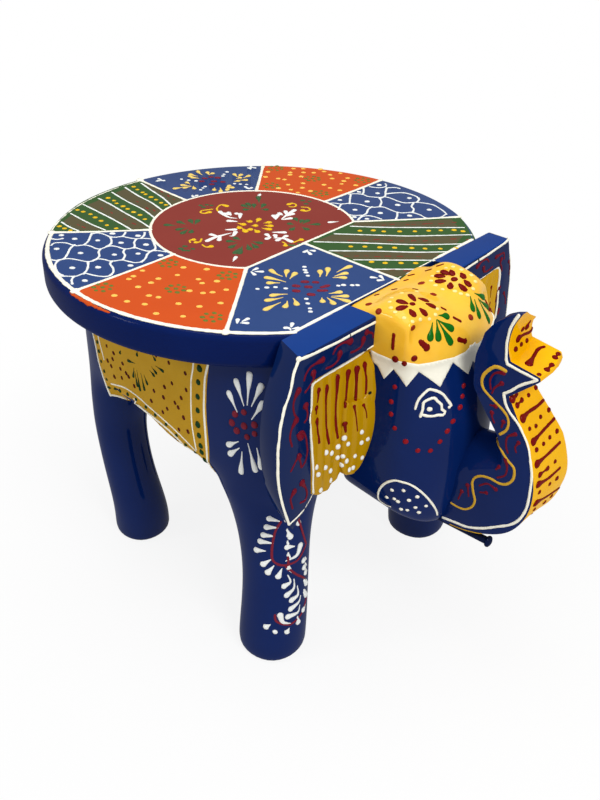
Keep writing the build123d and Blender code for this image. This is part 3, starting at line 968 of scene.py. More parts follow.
CURLS = [
    [(-48.5, 3.5), (-49.5, 0), (-52, -0.5), (-54, 2), (-53, 4.5), (-51, 8.5)], [(-48.5, 18.5),
    (-52.5, 18), (-51.5, 14), (-49, 10.5), (-45.5, 8.5)], [(-22, 48), (-21.5, 51), (-18, 50.5),
    (-16.5, 47), (-19, 45)], [(-8.5, 46), (-6, 46.5), (-6, 50), (-9.5, 52), (-13, 50)],
    [(-23.5, -33.5), (-24.5, -35.5), (-22, -37.5)], [(-19.5, -35), (-18.5, -33), (-21, -29.5)],
    [(-9, -33.5), (-10.5, -36), (-14.5, -35)], [(22, 9.5), (21.5, 6), (21.5, 3.5)], [(21, -3),
    (19, -1), (16.5, -0.5)]
]
BLOSSOM = [
    ((-19.5, 9.5), (-22.5, 8.5)), ((-18, 16), (-15.5, 11)), ((-10, 16.5), (-12, 13)),
    ((-5.5, 13), (-9.5, 10.5)), ((-2.5, 8.5), (-8, 6.5)), ((-5, 1), (-9.5, 2.5)),
    ((-10.5, 0.5), (-12.5, -2)), ((-12.5, 7), (-14.5, 5)), ((-19, 3.5), (-24, 2.5)),
    ((-17, -2), (-20.5, 0)), ((-10.5, -3.5), (-17, -0.5))
]
GREEN_SPRAYS = [
    ((-52, -29), (-46, -24.5)), ((-50, -20.5), (-43, -20)), ((-47, -14), (-40.5, -17.5)),
    ((-43.5, -11), (-39.5, -18)), ((-41.5, -29), (-40, -22.5)), ((-35.5, -31), (-38, -23)),
    ((-33, -26.5), (-36.5, -22)), ((-41.5, 26.5), (-33.5, 26)), ((-41.5, 30.5), (-34, 27)),
    ((-45, 44), (-36, 35.5)), ((-37.5, 32), (-32.5, 27)), ((-33, 36.5), (-29.5, 29.5)),
    ((-26, 31), (-29, 28.5)), ((-35.5, 22), (-32.5, 25)), ((-2.5, 32), (2.5, 29)),
    ((2.5, 32.5), (5, 27.5)), ((5, 35), (6.5, 27)), ((13.5, 34.5), (8, 29)), ((14, 24), (8, 25)),
    ((7.5, 17.5), (6, 23)), ((0.5, 23.5), (4, 24.5)), ((-7, -21), (-2, -18)),
    ((0, -26.5), (-1, -19)), ((7.5, -30.5), (3.5, -21.5)), ((9.5, -29), (2.5, -19)),
    ((9.5, -21), (2.5, -16)), ((10.5, -16.5), (3, -13.5)), ((8, -10.5), (2, -12)),
    ((-7.5, -15), (-2.5, -15))
]
WHITE_PINS = [((12, -34.5), (16.5, -42.5)), ((-47, 47), (-49.5, 51.5)), ((16.5, 42), (21.5, 49.5))]
GREEN_SPECKS = [
    (-19, -47.5), (-20, -43.5), (-14, -46.5), (-14, -43), (-16, -48), (-61, 8), (-59, 11.5),
    (-57.5, 7), (-56, 12.5), (-20, 59), (-16, 61), (-14.5, 56), (22.5, -1), (24.5, 0), (25, 4.5)
]


def seat_line_work(paint):
    """White lines along the near rim, the front edge, the medallion and between the fields."""
    rim = RIM + 0.2
    near_rim, back_rim = SPOKES["back_near"][1], SPOKES["back"][1] - 360
    paint.line(cream, arc((0, 0), rim, -EDGE_TURN, near_rim), 2.7, 2.5, wobble=0.16)
    paint.line(cream, arc((0, 0), rim + 0.9, near_rim, back_rim), 1.1, 2.5, wobble=0.3)
    edge = rim * math.sin(math.radians(EDGE_TURN))
    for side in (NEAR, FAR):
        paint.line(cream, [(FRONT_CUT - 1.2, side * edge), (FRONT_CUT - 1.2, side * 39)],
                   2.2, 2.5, ends=(1.2, 0.5), wobble=0.14)
    paint.line(cream, [(FRONT_CUT - 1.0, -39), (FRONT_CUT - 1.0, 39)], 1.0, 2.5, wobble=0.2)
    paint.line(cream, arc(MEDALLION, MEDALLION_RADIUS, CHORD_TURN, 360 - CHORD_TURN), 2.0, 2.5)
    paint.line(cream, [NEAR_CORNER, (CHORD_X, 7), FAR_CORNER], 2.0, 2.5)
    for inner, outer in SPOKES.values():
        start, end = on_medallion(inner), on_rim(outer)
        paint.line(cream, [start, start.lerp(end, 0.5) + Vector((0.5, -0.4)), end], 2.2, 2.5,
                   ends=(1.25, 1.35))
        if back_rim + 360 > outer % 360 > 50:
            paint.dot(cream, end, 2.6, 1.3, outer)
        else:
            paint.dot(cream, end, 4.6, 1.3, outer)
    paint.line(cream, FRONT_SPOKE, 2.0, 2.5, ends=(1.2, 1.3))


def paint_net(paint, courses, links, dots):
    for course in courses:
        paint.line(white, course, 1.15, 1.4, wobble=0.14)
    for link in links:
        paint.line(white, link, 1.35, 1.4, ends=(1.25, 1.25), wobble=0.14)
    paint.dots(white, dots, 2.7, 1.5, 35)


def paint_stripes(paint, lines, dots, dashes):
    for line in lines:
        paint.line(white, [off_medallion(p) for p in line], 1.5, 2.0, wobble=0.16)
    clear = [p for p in dots if (Vector(p) - Vector(MEDALLION)).length > MEDALLION_RADIUS + 2.2]
    paint.dots(bright_yellow, clear, 2.8, 1.25, 40)
    paint.dots(dull_red, dashes, 1.5, 4.3, 48 if dots[0][0] > 0 else -12)


def paint_blue_field(paint, petals, hearts, whites, tufts, size):
    """Sprays of yellow petals round red hearts, with rows of white dots."""
    for head, tail in petals:
        paint.drop(pale_yellow, head, tail, 3.4 * size, random.uniform(-0.06, 0.06))
    paint.dots(berry_red, hearts, 2.9 * size, 2.1, 35)
    paint.dots(white, whites, 2.1 * size, 1.5, 25)
    for tuft in tufts:
        paint.leaf(white, tuft, 2.4 * size)


def paint_dotted_flower(paint, finish, middle, radius, count, width):
    places = [(middle[0] + radius * math.cos(2 * math.pi * k / count + 0.3),
               middle[1] + radius * math.sin(2 * math.pi * k / count + 0.3))
              for k in range(count)]
    paint.dots(finish, [middle] + places, width, 1.3)


def paint_medallion(paint):
    for stroke in WHITE_LEAVES:
        paint.leaf(white, stroke, 3.4)
    for head, tail in BLOSSOM:
        paint.drop(bright_yellow, head, tail, 4.0)
    for curl in CURLS:
        paint.comma(bright_yellow, curl, 3.6)
    for head, tail in GREEN_SPRAYS:
        paint.drop(sea_green, head, tail, 3.8)
    for start, end in WHITE_PINS:
        paint.drop(white, start, end, 2.7)
    paint.dots(sea_green, GREEN_SPECKS, 2.6, 1.6, 30)


def make_seat_paint():
    paint = ConePaint(flat_seat, [cream, white, bright_yellow, pale_yellow, berry_red, dull_red,
                                  orange_green, sea_green, orange_dot_yellow, orange], 0.4)
    # The orange of the near field has run a little over the rim.
    paint.lay = pressed("seat_top", lambda u, v: (u, v, SEAT_TOP + 30), (0, 0, -1))
    for start, end, width in ((-99.5, -94.5, 1.9), (-96, -89.5, 2.6), (-91, -84, 1.6)):
        paint.line(orange, arc((0, 0), RIM + 2.1, start, end), width, 1.5, ends=(0.3, 0.3),
                   wobble=0.3)
    paint.lay = flat_seat
    seat_line_work(paint)
    paint_net(paint, NEAR_NET_COURSES, NEAR_NET_LINKS, NEAR_NET_DOTS)
    paint_net(paint, FAR_NET_COURSES, FAR_NET_LINKS, FAR_NET_DOTS)
    paint_stripes(paint, FRONT_STRIPES[1:-1], FRONT_STRIPE_DOTS, FRONT_STRIPE_DASHES)
    paint_stripes(paint, BACK_STRIPES[:-1], BACK_STRIPE_DOTS, BACK_STRIPE_DASHES)
    paint_blue_field(paint, NEAR_PETAL_DROPS, NEAR_HEARTS, NEAR_WHITES, NEAR_TUFTS, 1.0)
    for start, end in NEAR_LONG_HEARTS:
        paint.line(berry_red, [start, end], 2.7)
    paint_blue_field(paint, BACK_PETAL_DROPS, BACK_HEARTS, BACK_WHITES, BACK_TUFTS, 0.92)
    for dots, flowers in ((NEAR_ORANGE_DOTS, NEAR_ORANGE_FLOWERS),
                          (BACK_ORANGE_DOTS, BACK_ORANGE_FLOWERS)):
        paint.dots(orange_dot_yellow, dots, 3.0, 1.3, 35)
        for flower in flowers:
            paint_dotted_flower(paint, orange_green, flower, 4.6, 7, 2.6)
    paint_medallion(paint)
    paint.dry("cone_paint_on_seat")


# ---------------------------------------------------------------- barrel and legs

BELLY = 127
CAGE_SWELL = 0.93

# Control points of the barrel's plan, from the middle of the back round to the front.
BARREL_PLAN = {
    (-110, 0): (-112, 0), (-110, -38): (-112, -36), (-110, -92): (-94, -72.5),
    (-52, -92): (-54, -84), (-12, -92): (-12, -88), (24, -92): (26, -93),
    (108, -92): (106, -92), (108, -38): (108, -38), (108, 0): (108, 0),
}
BELLY_HEIGHTS = {-52: 127, -12: 137, 24: 116.5}

# Rings of each leg, from the barrel down to the foot: height, middle forward of the seat
# axis, middle out from the middle plane, and radius.
FRONT_LEG = [
    (112, 64, 62, 29.5), (102, 68.5, 65.5, 25), (84, 73, 69, 20.8), (55, 77, 71.5, 18.8),
    (25, 78, 74.5, 19.8), (8, 78, 76, 20.2), (2, 78, 76, 19.6), (0, 78, 76, 17.5)
]
REAR_LEG = [
    (112, -71, 58, 20.5), (98, -73, 60.5, 17.5), (84, -73.3, 61.5, 16.4), (55, -67.9, 62.5, 16),
    (25, -61.8, 60, 17.6), (8, -63.5, 58, 18.5), (2, -63.5, 58, 18), (0, -63.5, 58, 16)
]


def grow_leg(bm, crease, patch_x, rings):
    """Draws a leg down from a patch of the belly, ring by ring."""
    spot = Vector((patch_x, -62, BELLY))
    face = min((f for f in bm.faces if f.normal.z < -0.5),
               key=lambda f: (f.calc_center_median() - spot).length)
    for edge in face.edges:
        edge[crease] = 0
    for z, x, y, radius in rings:
        grown = bmesh.ops.extrude_discrete_faces(bm, faces=[face])
        face = grown["faces"][0]
        middle = face.calc_center_median()
        half = radius / CAGE_SWELL
        for vert in face.verts:
            across = 1 if vert.co.x > middle.x else -1
            out = 1 if vert.co.y > middle.y else -1
            vert.co = Vector((x + across * half, -y + out * half, z))
    bmesh.ops.inset_individual(bm, faces=[face], thickness=6.0)


def half_barrel():
    """Cage of the right half of the body with both its legs, rounded and cut to fit."""
    bm = block((-110, -92, BELLY), (108, 0, 236))
    slice_across(bm, 0, (-52, -12, 24))
    slice_across(bm, 1, (-38,))
    slice_across(bm, 2, (148, 190))
    middle_faces = [f for f in bm.faces if f.normal.y > 0.9]
    bmesh.ops.delete(bm, geom=middle_faces, context="FACES")
    crease = bm.edges.layers.float.new("crease_edge")
    for edge in bm.edges:
        low = all(v.co.z < BELLY + 1 for v in edge.verts)
        if low and all(v.co.y < -90 for v in edge.verts):
            edge[crease] = 0.6
    for vert in bm.verts:
        corner = (round(vert.co.x), round(vert.co.y))
        if vert.co.z < BELLY + 1 and corner[0] in BELLY_HEIGHTS:
            vert.co.z = BELLY_HEIGHTS[corner[0]]
        if corner in BARREL_PLAN:
            vert.co.x, vert.co.y = BARREL_PLAN[corner]
    grow_leg(bm, crease, 66, FRONT_LEG)
    grow_leg(bm, crease, -80, REAR_LEG)
    whole = joined([mirrored(bm), bm])
    bmesh.ops.remove_doubles(whole, verts=whole.verts, dist=0.01)
    bmesh.ops.recalc_face_normals(whole, faces=whole.faces)
    whole = carved_round(whole)
    trim(whole, (0, 0, SEAT_UNDER), (0, 0, 1))
    for vert in whole.verts:
        if vert.co.z > 100:
            vert.co.x = min(vert.co.x, FRONT_CUT)
        vert.co.z = max(vert.co.z, 0)
    return whole


def make_body():
    whole = half_barrel()
    core = whole.copy()
    for side in (NEAR, FAR):
        trim(core, (0, side * CORE_HALF, 0), (0, side, 0))
        slab = whole.copy()
        trim(slab, (0, side * CORE_HALF, 0), (0, -side, 0))
        name = "right" if side == NEAR else "left"
        piece(f"carved_body_side_{name}", slab, [blue], [f"body_side_{name}"],
              crease=BODY_CREASE)
    whole.free()
    piece("carved_body_core", core, [blue], ["body_core"], crease=BODY_CREASE)


# ---------------------------------------------------------------- head

HEAD_LEVELS = {
    # height: reach at the middle, reach at y 20, front corner x and y, half width
    104: (155, 152, 143, 29, 37), 124: (160, 155, 147, 31, 39.5),
    150: (160.5, 154.5, 147, 31, 39.5), 168: (160, 155, 147, 31.5, 39.5),
    184: (154, 150, 143, 32, 39), 194: (150, 146, 139, 33, 38.2),
    198.5: (148, 144.5, 138, 33.8, 37.6), 200.5: (149.5, 146.5, 140, 35.8, 39.4),
    210: (148, 143.5, 136.5, 35.2, 39.6),
}
CHIN_HEIGHTS = {
    # distance from the middle: height of the chin's cage at the ears and at its front
    0: (95, 89), 20: (97, 92), 40: (107, 99),
}
CROWN_HEIGHTS = {
    # (forward, half width): height of the cage's top
    (92, 0): 221, (92, 20): 221, (92, 40): 221,
    (104, 0): 221, (104, 20): 221, (104, 40): 220.5,
    (112, 0): 221.5, (112, 20): 230, (112, 40): 224.5,
    (122, 0): 220, (122, 20): 232, (122, 40): 225,
    (134, 0): 219.5, (134, 20): 227.5, (134, 40): 222.5,
    (150, 0): 216.5, (150, 20): 219.5, (150, 40): 217.5,
}


CAP_EDGE = 199.5


def head_cage():
    """Cage of the right half of the head."""
    heights = sorted(HEAD_LEVELS)
    bm = block((92, -40, 90), (150, 0, 226))
    slice_across(bm, 0, (104, 112, 122, 134))
    slice_across(bm, 1, (-20,))
    slice_across(bm, 2, heights)
    middle_faces = [f for f in bm.faces if f.normal.y > 0.9]
    bmesh.ops.delete(bm, geom=middle_faces, context="FACES")
    for vert in bm.verts:
        x, y, z = vert.co
        nearest = min(HEAD_LEVELS, key=lambda level: abs(level - z))
        middle, beside, corner_x, corner_y, half = HEAD_LEVELS[nearest]
        if z > 225:
            vert.co.z = CROWN_HEIGHTS[(round(x), round(-y))]
            middle, beside, corner_x, corner_y, half = 143, 139, 131, 34, 38.4
        if z < 91:
            at_ears, at_front = CHIN_HEIGHTS[round(-y)]
            vert.co.z = at_ears + (at_front - at_ears) * (x - 92) / 58
            middle, beside, corner_x, corner_y, half = 149, 147, 138, 27, 33
        if 103 < z < 105 and y < -39:
            vert.co.z = 114 - 8 * (x - 92) / 58
        if x > 149:
            vert.co.x = middle if y > -1 else beside if y > -21 else corner_x
        if y < -39:
            vert.co.y = -corner_y if x > 149 else -half
    crease = bm.edges.layers.float.new("crease_edge")
    for edge in bm.edges:
        if all(v.co.z > 209 and v.co.y < -33 for v in edge.verts):
            edge[crease] = 0.35
    return bm


def make_head():
    half = head_cage()
    whole = joined([mirrored(half), half])
    bmesh.ops.remove_doubles(whole, verts=whole.verts, dist=0.01)
    bmesh.ops.recalc_face_normals(whole, faces=whole.faces)
    whole = carved_round(whole)
    trim(whole, (FRONT_CUT, 0, 0), (-1, 0, 0))
    for vert in whole.verts:
        # The far side stands higher at its dome and wider at its cheek than the near one, and
        # falls off more at its shoulder.
        out, up = held((vert.co.y - 12) / 27), held((vert.co.z - 200) / 18)
        crown = math.exp(-((vert.co.y - 20) / 9) ** 2) * held((vert.co.z - 214) / 12)
        back = held((124 - vert.co.x) / 16)
        vert.co.z += (2.8 + 1.6 * back) * crown - (9 - 6 * back) * out ** 3 * up
        shoulder = held((vert.co.z - 201) / 4) * held((220 - vert.co.z) / 4)
        cheek = held((202 - vert.co.z) / 3) * held((vert.co.z - 165) / 15)
        vert.co.y += out * out * (1.8 * (1 - 0.7 * up) - 2.5 * shoulder + 2.2 * cheek)
    for face in whole.faces:
        face.material_index = 1 if face.calc_center_median().z > CAP_EDGE else 0
    piece("carved_head", whole, [blue, yellow], ["head_block"],
          crease=BODY_CREASE)


# ---------------------------------------------------------------- ears

EAR_OUTER = [
    (96, 221), (98.5, 217), (101.5, 210), (105, 203), (108.5, 194), (110.5, 184), (111.5, 171),
    (110.5, 155), (107.5, 140), (102, 126), (99.5, 121)
]
EAR_OUTER_BACK_IN = {NEAR: 7, FAR: -7}
BAND_TOP = 204
BAND_SIDE = 87


def as_far_ear(u, v):
    """Where a place of the near ear lies on the far one, which was sawn narrower."""
    outer = 8 + 4.8 * held((SEAT_TOP - v) / 35)
    inner = 4.5 - 2 * held((BAND_TOP - v) / 29)
    share = held((u - 88) / 8)
    narrower = (inner + (outer - inner) * share) * held((u - HEAD_HALF) / 24)
    raised_by = (1.5 + 2.0 * held((u - 38) / 50)) * held((v - 185) / 20)
    in_corner = 1.5 * held((u - 60) / 20) * held((v - 194) / 9) * held((214 - v) / 8)
    return u - narrower, v + raised_by + in_corner


def as_far_lobe(u, v):
    """The far ear's lobes reach out to the inner edge of its frame."""
    out, up = as_far_ear(u, v)
    return out + 5.4 * held((u - 66) / 16), up


def as_near_ear(u, v):
    return u, v


def ear_band(side, drawn):
    """The blue frame of the ear: along the top, down the flared outer edge, to the tip."""
    inner = [(85, 134), (85.5, 150), (87, 172), (BAND_SIDE, BAND_TOP), (HEAD_HALF, BAND_TOP)]
    outer = [(p.x, p.y) for p in flat_route(EAR_OUTER[1:], 5)]
    outline = [(HEAD_HALF, SEAT_TOP), EAR_OUTER[0]] + outer + inner
    bm = sawn([drawn(u, v) for u, v in outline],
              lambda u, v: (EAR_FRONT, u, v), (FRONT_CUT - EAR_FRONT, 0, 0))
    for vert in bm.verts:
        if abs(vert.co.x - FRONT_CUT) < 0.1 and vert.co.y > drawn(BAND_SIDE, vert.co.z)[0] + 2:
            vert.co.y -= EAR_OUTER_BACK_IN[side]
        if abs(vert.co.x - FRONT_CUT) < 0.1:
            vert.co.z = min(vert.co.z, SEAT_TOP)
    ease_edges(bm, rim_edges(bm, 0, EAR_FRONT), 1.3, 3)
    # Faces that look up take the lighter blue, a painted sheen of the lit top.
    for face in bm.faces:
        if face.normal.z > 0.7 and face.calc_center_median().z > SEAT_TOP - 2:
            face.material_index = 2
    return bm


def lobe(outline, front, flutes, swell, drawn):
    """A carved lobe of the ear: rounded edge, with flutes cut down its face."""
    bm = sawn([drawn(p.x, p.y) for p in flat_route(outline, 3, closed=True)],
              lambda u, v: (front, u, v), (FRONT_CUT - front, 0, 0))
    ease_edges(bm, rim_edges(bm, 0, front), 2.2, 3)
    slice_across(bm, 1, [30 + 1.6 * k for k in range(38)])
    slice_across(bm, 2, [124 + 4 * k for k in range(22)])
    for vert in bm.verts:
        if vert.co.x > front - 3:
            y, z = vert.co.y, vert.co.z
            vert.co.x += swell(y, z) - sum(
                depth * math.exp(-((y - at - lean * (z - 170)) / 1.5) ** 2)
                for at, depth, lean in flutes
            )
    return bm


OUTER_LOBE = [
    (84, 202), (70, 202.5), (55, 203), (40, 202), (38.5, 190), (38.5, 172), (44, 160), (52, 140),
    (57, 132), (63, 129), (68, 126.5), (75, 127.5), (80, 131), (83.5, 137), (84.5, 160)
]
INNER_LOBE = [
    (60, 177), (54, 177.5), (46, 177), (40, 182), (38.2, 178), (38, 160), (38.5, 146), (41, 136),
    (46, 129.5), (51, 129.5), (57, 133), (59.5, 145)
]
OUTER_LOBE_SUNK = {NEAR: 2.0, FAR: 0.8}
OUTER_FLUTES = [
    (78.5, 0.8, 0.02), (72, 0.9, 0.02), (65, 0.9, 0.01), (58, 0.9, 0.0), (51, 0.8, 0.0),
    (44.5, 0.7, -0.01)
]
INNER_FLUTES = [(54, 0.6, 0.02), (47.5, 0.6, 0.01)]


def outer_swell(y, z):
    """The outer lobe swells forward beside the head, and falls back towards its tip."""
    beside = held((52 - y) / 13)
    up = held((199 - z) / 6) * (0.74 + 0.26 * held((192 - z) / 12))
    return 5.5 * beside * up - 1.2 * max(0.0, (150 - z) / 25)


def inner_swell(y, z):
    """The inner lobe swells forward where it meets the cheek."""
    across = held((60 - y) / 20)
    up = math.exp(-((z - 162) / 22) ** 2)
    return 4.5 * across * up


def make_ear(side):
    drawn = as_far_ear if side == FAR else as_near_ear
    name = "left" if side == FAR else "right"
    in_lobe = as_far_lobe if side == FAR else as_near_ear
    shells = [
        ear_band(side, drawn),
        lobe(OUTER_LOBE, EAR_FRONT - OUTER_LOBE_SUNK[side], OUTER_FLUTES, outer_swell, in_lobe),
        lobe(INNER_LOBE, EAR_FRONT - 0.6, INNER_FLUTES, inner_swell, in_lobe),
    ]
    for shell in shells[1:]:
        for face in shell.faces:
            face.material_index = 1
    bm = joined(shells)
    if side == NEAR:
        flipped = mirrored(bm)
        bm.free()
        bm = flipped
    # Both ears' lobes are one yellow paint: the near ear's finish is darkened as painted shade,
    # the far ear's lightened as painted light.
    in_lobes = far_ear_lit_yellow if side == FAR else near_ear_shaded_yellow
    piece(f"carved_ear_{name}", bm, [ear_shaded_blue, in_lobes, ear_top_sheen_blue], [f"ear_{name}"])


# ---------------------------------------------------------------- trunk

TRUNK_TIP = [(161.5, 219.5), (166, 226), (172.5, 231.8), (176.8, 235), (180.3, 236)]
TRUNK_MOUTH = [(180.3, 236), (177.2, 230), (175.6, 223.5), (175.3, 216), (177.5, 209.5)]
TRUNK_LIP = [(177.5, 209.5), (187, 208), (194, 206.8), (194.5, 205), (189, 199.5), (179.5, 190.5)]
TRUNK_FRONT = [
    (179.5, 190.5), (184, 183), (190, 173), (195.5, 162), (199.5, 150), (201, 138), (199.5, 126),
    (194.5, 115), (187, 107), (175.5, 100.8), (163, 97.2), (150, 96)
]
TRUNK_BACK = [
    (176.2, 166), (171.9, 171.5), (166.1, 178.7), (162.1, 184.1), (159.2, 189), (158.5, 197),
    (158.3, 206), (160.2, 213.4), (161.5, 219.5)
]
# The crotch behind the trunk is rounded over: its ridge lies in the middle of the plank, and
# it falls away to both sides.
CROTCH_RIDGE = [(150, 152), (158, 154), (166, 154.5), (173, 158), (176.2, 166)]
CROTCH_SIDES = [(150, 130), (158, 134), (168, 140.5), (181, 149), (176.2, 166)]
# The trunk is thicker on its far side below and thinner above: height, and how far its far
# face lies outside the plank's thickness.
FAR_FACE = [
    (100, 5), (110, 8.5), (120, 10.5), (135, 10), (148, 7.5), (160, 6), (171, 1.5), (181, -2),
    (190, -5), (205, -3.5), (222, -4.5), (240, -6)
]


TIP_YELLOW_FROM = 177
TIP_CUT_AT = (171, -TRUNK_HALF, 234.6)
TIP_SLANT = Vector((-0.35, 0.5, 1)).normalized()


def trunk_section(y):
    """Outline of the trunk at one distance from its middle."""
    fall = min(1.0, abs(y) / TRUNK_HALF) ** 2.0
    crotch = [Vector(a).lerp(Vector(b), fall) for a, b in zip(CROTCH_RIDGE, CROTCH_SIDES)]
    outline = []
    for run in (TRUNK_TIP, TRUNK_MOUTH, TRUNK_LIP, TRUNK_FRONT):
        outline += [(p.x, y, p.y) for p in flat_route(run, 2.5)[:-1]]
    outline.append((150, y, 96))
    pieces = 14
    route = flat_route(crotch, 0.25)
    outline += [(p.x, y, p.y) for p in
                (route[round(k * (len(route) - 1) / pieces)] for k in range(pieces))]
    outline += [(p.x, y, p.y) for p in flat_route(TRUNK_BACK, 2.5)[:-1]]
    return outline


def skinned(sections):
    """A closed shell skinned over loops of equally many points, with flat ends."""
    bm = bmesh.new()
    loops = [[bm.verts.new(point) for point in section] for section in sections]
    for before, after in zip(loops, loops[1:]):
        for k in range(len(before)):
            bm.faces.new((before[k - 1], before[k], after[k], after[k - 1]))
    bm.faces.new(loops[0])
    bm.faces.new(list(reversed(loops[-1])))
    bmesh.ops.recalc_face_normals(bm, faces=bm.faces[:])
    return bm


def carve_far_side(bm):
    """Draws the far half of the trunk out or in to the thickness it has at each height."""
    slice_across(bm, 2, [height for height, _ in FAR_FACE[1:-1]])
    for vert in bm.verts:
        x, y, z = vert.co
        if y <= 0:
            continue
        for (low, before), (high, after) in zip(FAR_FACE, FAR_FACE[1:]):
            if z <= high:
                break
        grown = before + (after - before) * held((z - low) / (high - low))
        share = y / TRUNK_HALF
        in_mouth = held((x - 174) / 3) * held((z - 202) / 4) * held((224 - z) / 4)
        vert.co += share * Vector((-2.5 * in_mouth, grown, 3.5 * in_mouth))
        under = held((125 - z) / 15) * held((x - 172) / 12)
        vert.co += share * under * Vector((2, 0, -2))


def make_trunk():
    steps = (-14, -12, -9.5, -6, -2, 2, 6, 9.5, 12, 14)
    bm = skinned([trunk_section(y) for y in steps])
    for face in bm.faces:
        middle = face.calc_center_median()
        on_top = face.normal.z > 0.5 and middle.z > 226
        facing_front = abs(face.normal.y) < 0.5 and is_trunk_front(middle) and not on_top
        face.material_index = 1 if facing_front else 0
    edges = rim_edges(bm, 1, -TRUNK_HALF) + rim_edges(bm, 1, TRUNK_HALF)
    ease_edges(bm, edges, 1.4, 3)
    carve_far_side(bm)
    trim(bm, TIP_CUT_AT, TIP_SLANT)
    slice_across(bm, 0, (TIP_YELLOW_FROM,))
    for face in bm.faces:
        if face.normal.dot(TIP_SLANT) > 0.98 and face.calc_center_median().x > TIP_YELLOW_FROM:
            face.material_index = 1
    piece("sawn_trunk", bm, [blue, trunk_yellow], ["trunk"])


def is_trunk_front(point):
    """Whether a point of the trunk's edge is on its mouth, lip or front."""
    if point.z > 190:
        return point.x > 174
    return point.x > 176 or (point.x > 158 and point.z < 110)


NAIL_RAISED = 2.5
NAIL_SIDES = 24


def make_nail():
    """The painted wire nail under the chin, with its domed head."""
    low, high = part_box("trunk_nail")
    start, end = (TO_FRAME.inverted() @ low), (TO_FRAME.inverted() @ high)
    y, z = (start.y + end.y) / 2, (start.z + end.z) / 2 + NAIL_RAISED
    profile = [(start.x, 0), (start.x, 2.2), (end.x - 3, 2.2), (end.x - 2.8, 3.1),
               (end.x - 2.0, 3.4), (end.x - 1.2, 3.1), (end.x - 0.5, 1.9), (end.x - 0.3, 0)]
    bm = bmesh.new()
    rings = []
    for x, radius in profile:
        count = NAIL_SIDES if radius else 1
        rings.append([bm.verts.new((x, y + radius * math.cos(2 * math.pi * k / NAIL_SIDES),
                                    z + radius * math.sin(2 * math.pi * k / NAIL_SIDES)))
                      for k in range(count)])
    for first, second in zip(rings, rings[1:]):
        for k in range(NAIL_SIDES):
            corners = [first[k % len(first)], first[(k + 1) % len(first)],
                       second[(k + 1) % len(second)], second[k % len(second)]]
            bm.faces.new(list(dict.fromkeys(corners)))
    bmesh.ops.recalc_face_normals(bm, faces=bm.faces[:])
    piece("painted_chin_nail", bm, [nail_blue], ["trunk_nail"])


# ---------------------------------------------------------------- paint on the ears

# Places on the ear's face are (out from the middle plane, up); the near ear's are used for
# both, and drawn in by as much as the far ear is narrower.
EAR_OUTER_LINE = [
    (97, 221), (98, 219), (100.5, 214.5), (102, 208), (104, 203), (106.5, 199), (108, 194),
    (109.5, 189), (110, 184), (111, 177), (111, 169), (111, 162), (110, 153.5), (108, 144.5),
    (105.5, 136), (102.5, 127)
]
EAR_TOP_LINE = [(97, 220.5), (88, 219.5), (78, 219), (68, 218.5), (56, 218.5), (38, 218)]
EAR_TIP_LINE = [(102.5, 127), (96.5, 128), (89.5, 130.5), (85.5, 134), (84, 136.5)]
EAR_INNER_LINE = [
    (84, 136.5), (84.5, 143), (84.5, 151), (85.5, 160), (86.5, 168), (87.5, 176), (88, 184),
    (87.5, 192), (87.5, 199.5), (86.5, 203), (82.5, 203.5), (76, 204), (61, 204), (50, 204.5),
    (37, 205)
]
EAR_SCROLLS = [
    [(46, 215), (41, 212.5), (40.5, 210)], [(48.5, 212), (50, 208.5), (55, 208), (58, 208.5)],
    [(59, 215), (64.5, 216.5), (69.5, 216), (72, 213.5)], [(67, 211.5), (68, 208.5), (72, 207),
    (77, 207.5)], [(80, 213.5), (85.5, 213.5), (89, 213), (92, 210.5), (93, 208)], [(86.5, 209),
    (86, 206), (89, 203), (92, 201)], [(97, 204), (99.5, 201), (100.5, 197), (99.5, 192),
    (97.5, 189)], [(91.5, 193), (90, 188.5), (90.5, 185), (92, 184)], [(98.5, 188),
    (101.5, 184.5), (102.5, 180), (101, 174.5)], [(94.5, 176.5), (96.5, 179), (93.5, 179),
    (91, 175), (90, 170), (89.5, 165), (91, 160), (93.5, 158)], [(96, 166), (98.5, 163.5),
    (101.5, 160)], [(95.5, 165), (94.5, 161.5), (94, 158.5)], [(93, 148), (90, 143), (89, 138.5),
    (90.5, 135.5), (94, 136)], [(99, 146), (101.5, 143), (101, 139.5), (100, 136)]
]
LOBE_STROKES = [
    [(80, 195.5), (80, 192.5), (80.5, 189.5)], [(81, 186), (81, 183)], [(80.5, 178.5),
    (79.5, 171.5), (78, 164)], [(74, 194.5), (74, 186.5), (73.5, 179), (72.5, 169), (70, 159.5)],
    [(66, 197), (65.5, 189), (66, 180), (65, 168.5), (63, 159.5)], [(57, 196), (57.5, 187.5),
    (58, 176)], [(57.5, 165), (56.5, 160)], [(50, 195), (49.5, 185.5), (49.5, 176)],
    [(43.5, 194.5), (41.5, 185.5), (41, 176.5)]
]
LOBE_DOTS = [
    (62.5, 153.5), (72.5, 155), (67.5, 152), (62.5, 146.5), (58, 145), (59, 140), (79.5, 149.5),
    (72.5, 145.5), (78, 144), (68, 141), (67.5, 134.5), (75.5, 132.5)
]
INNER_LOBE_STROKES = [[(57, 178), (55, 171), (53, 161)], [(49, 175), (46.5, 170), (45.5, 165.5)]]
INNER_LOBE_DOTS = [
    (49.5, 158.5), (43.5, 151), (49, 151.5), (60.5, 156.5), (64, 162), (54, 145.5), (47.5, 141),
    (61, 146), (55, 138.5), (58.5, 139)
]
NAIL_PITS = [(59.5, 218.5), (40, 177)]


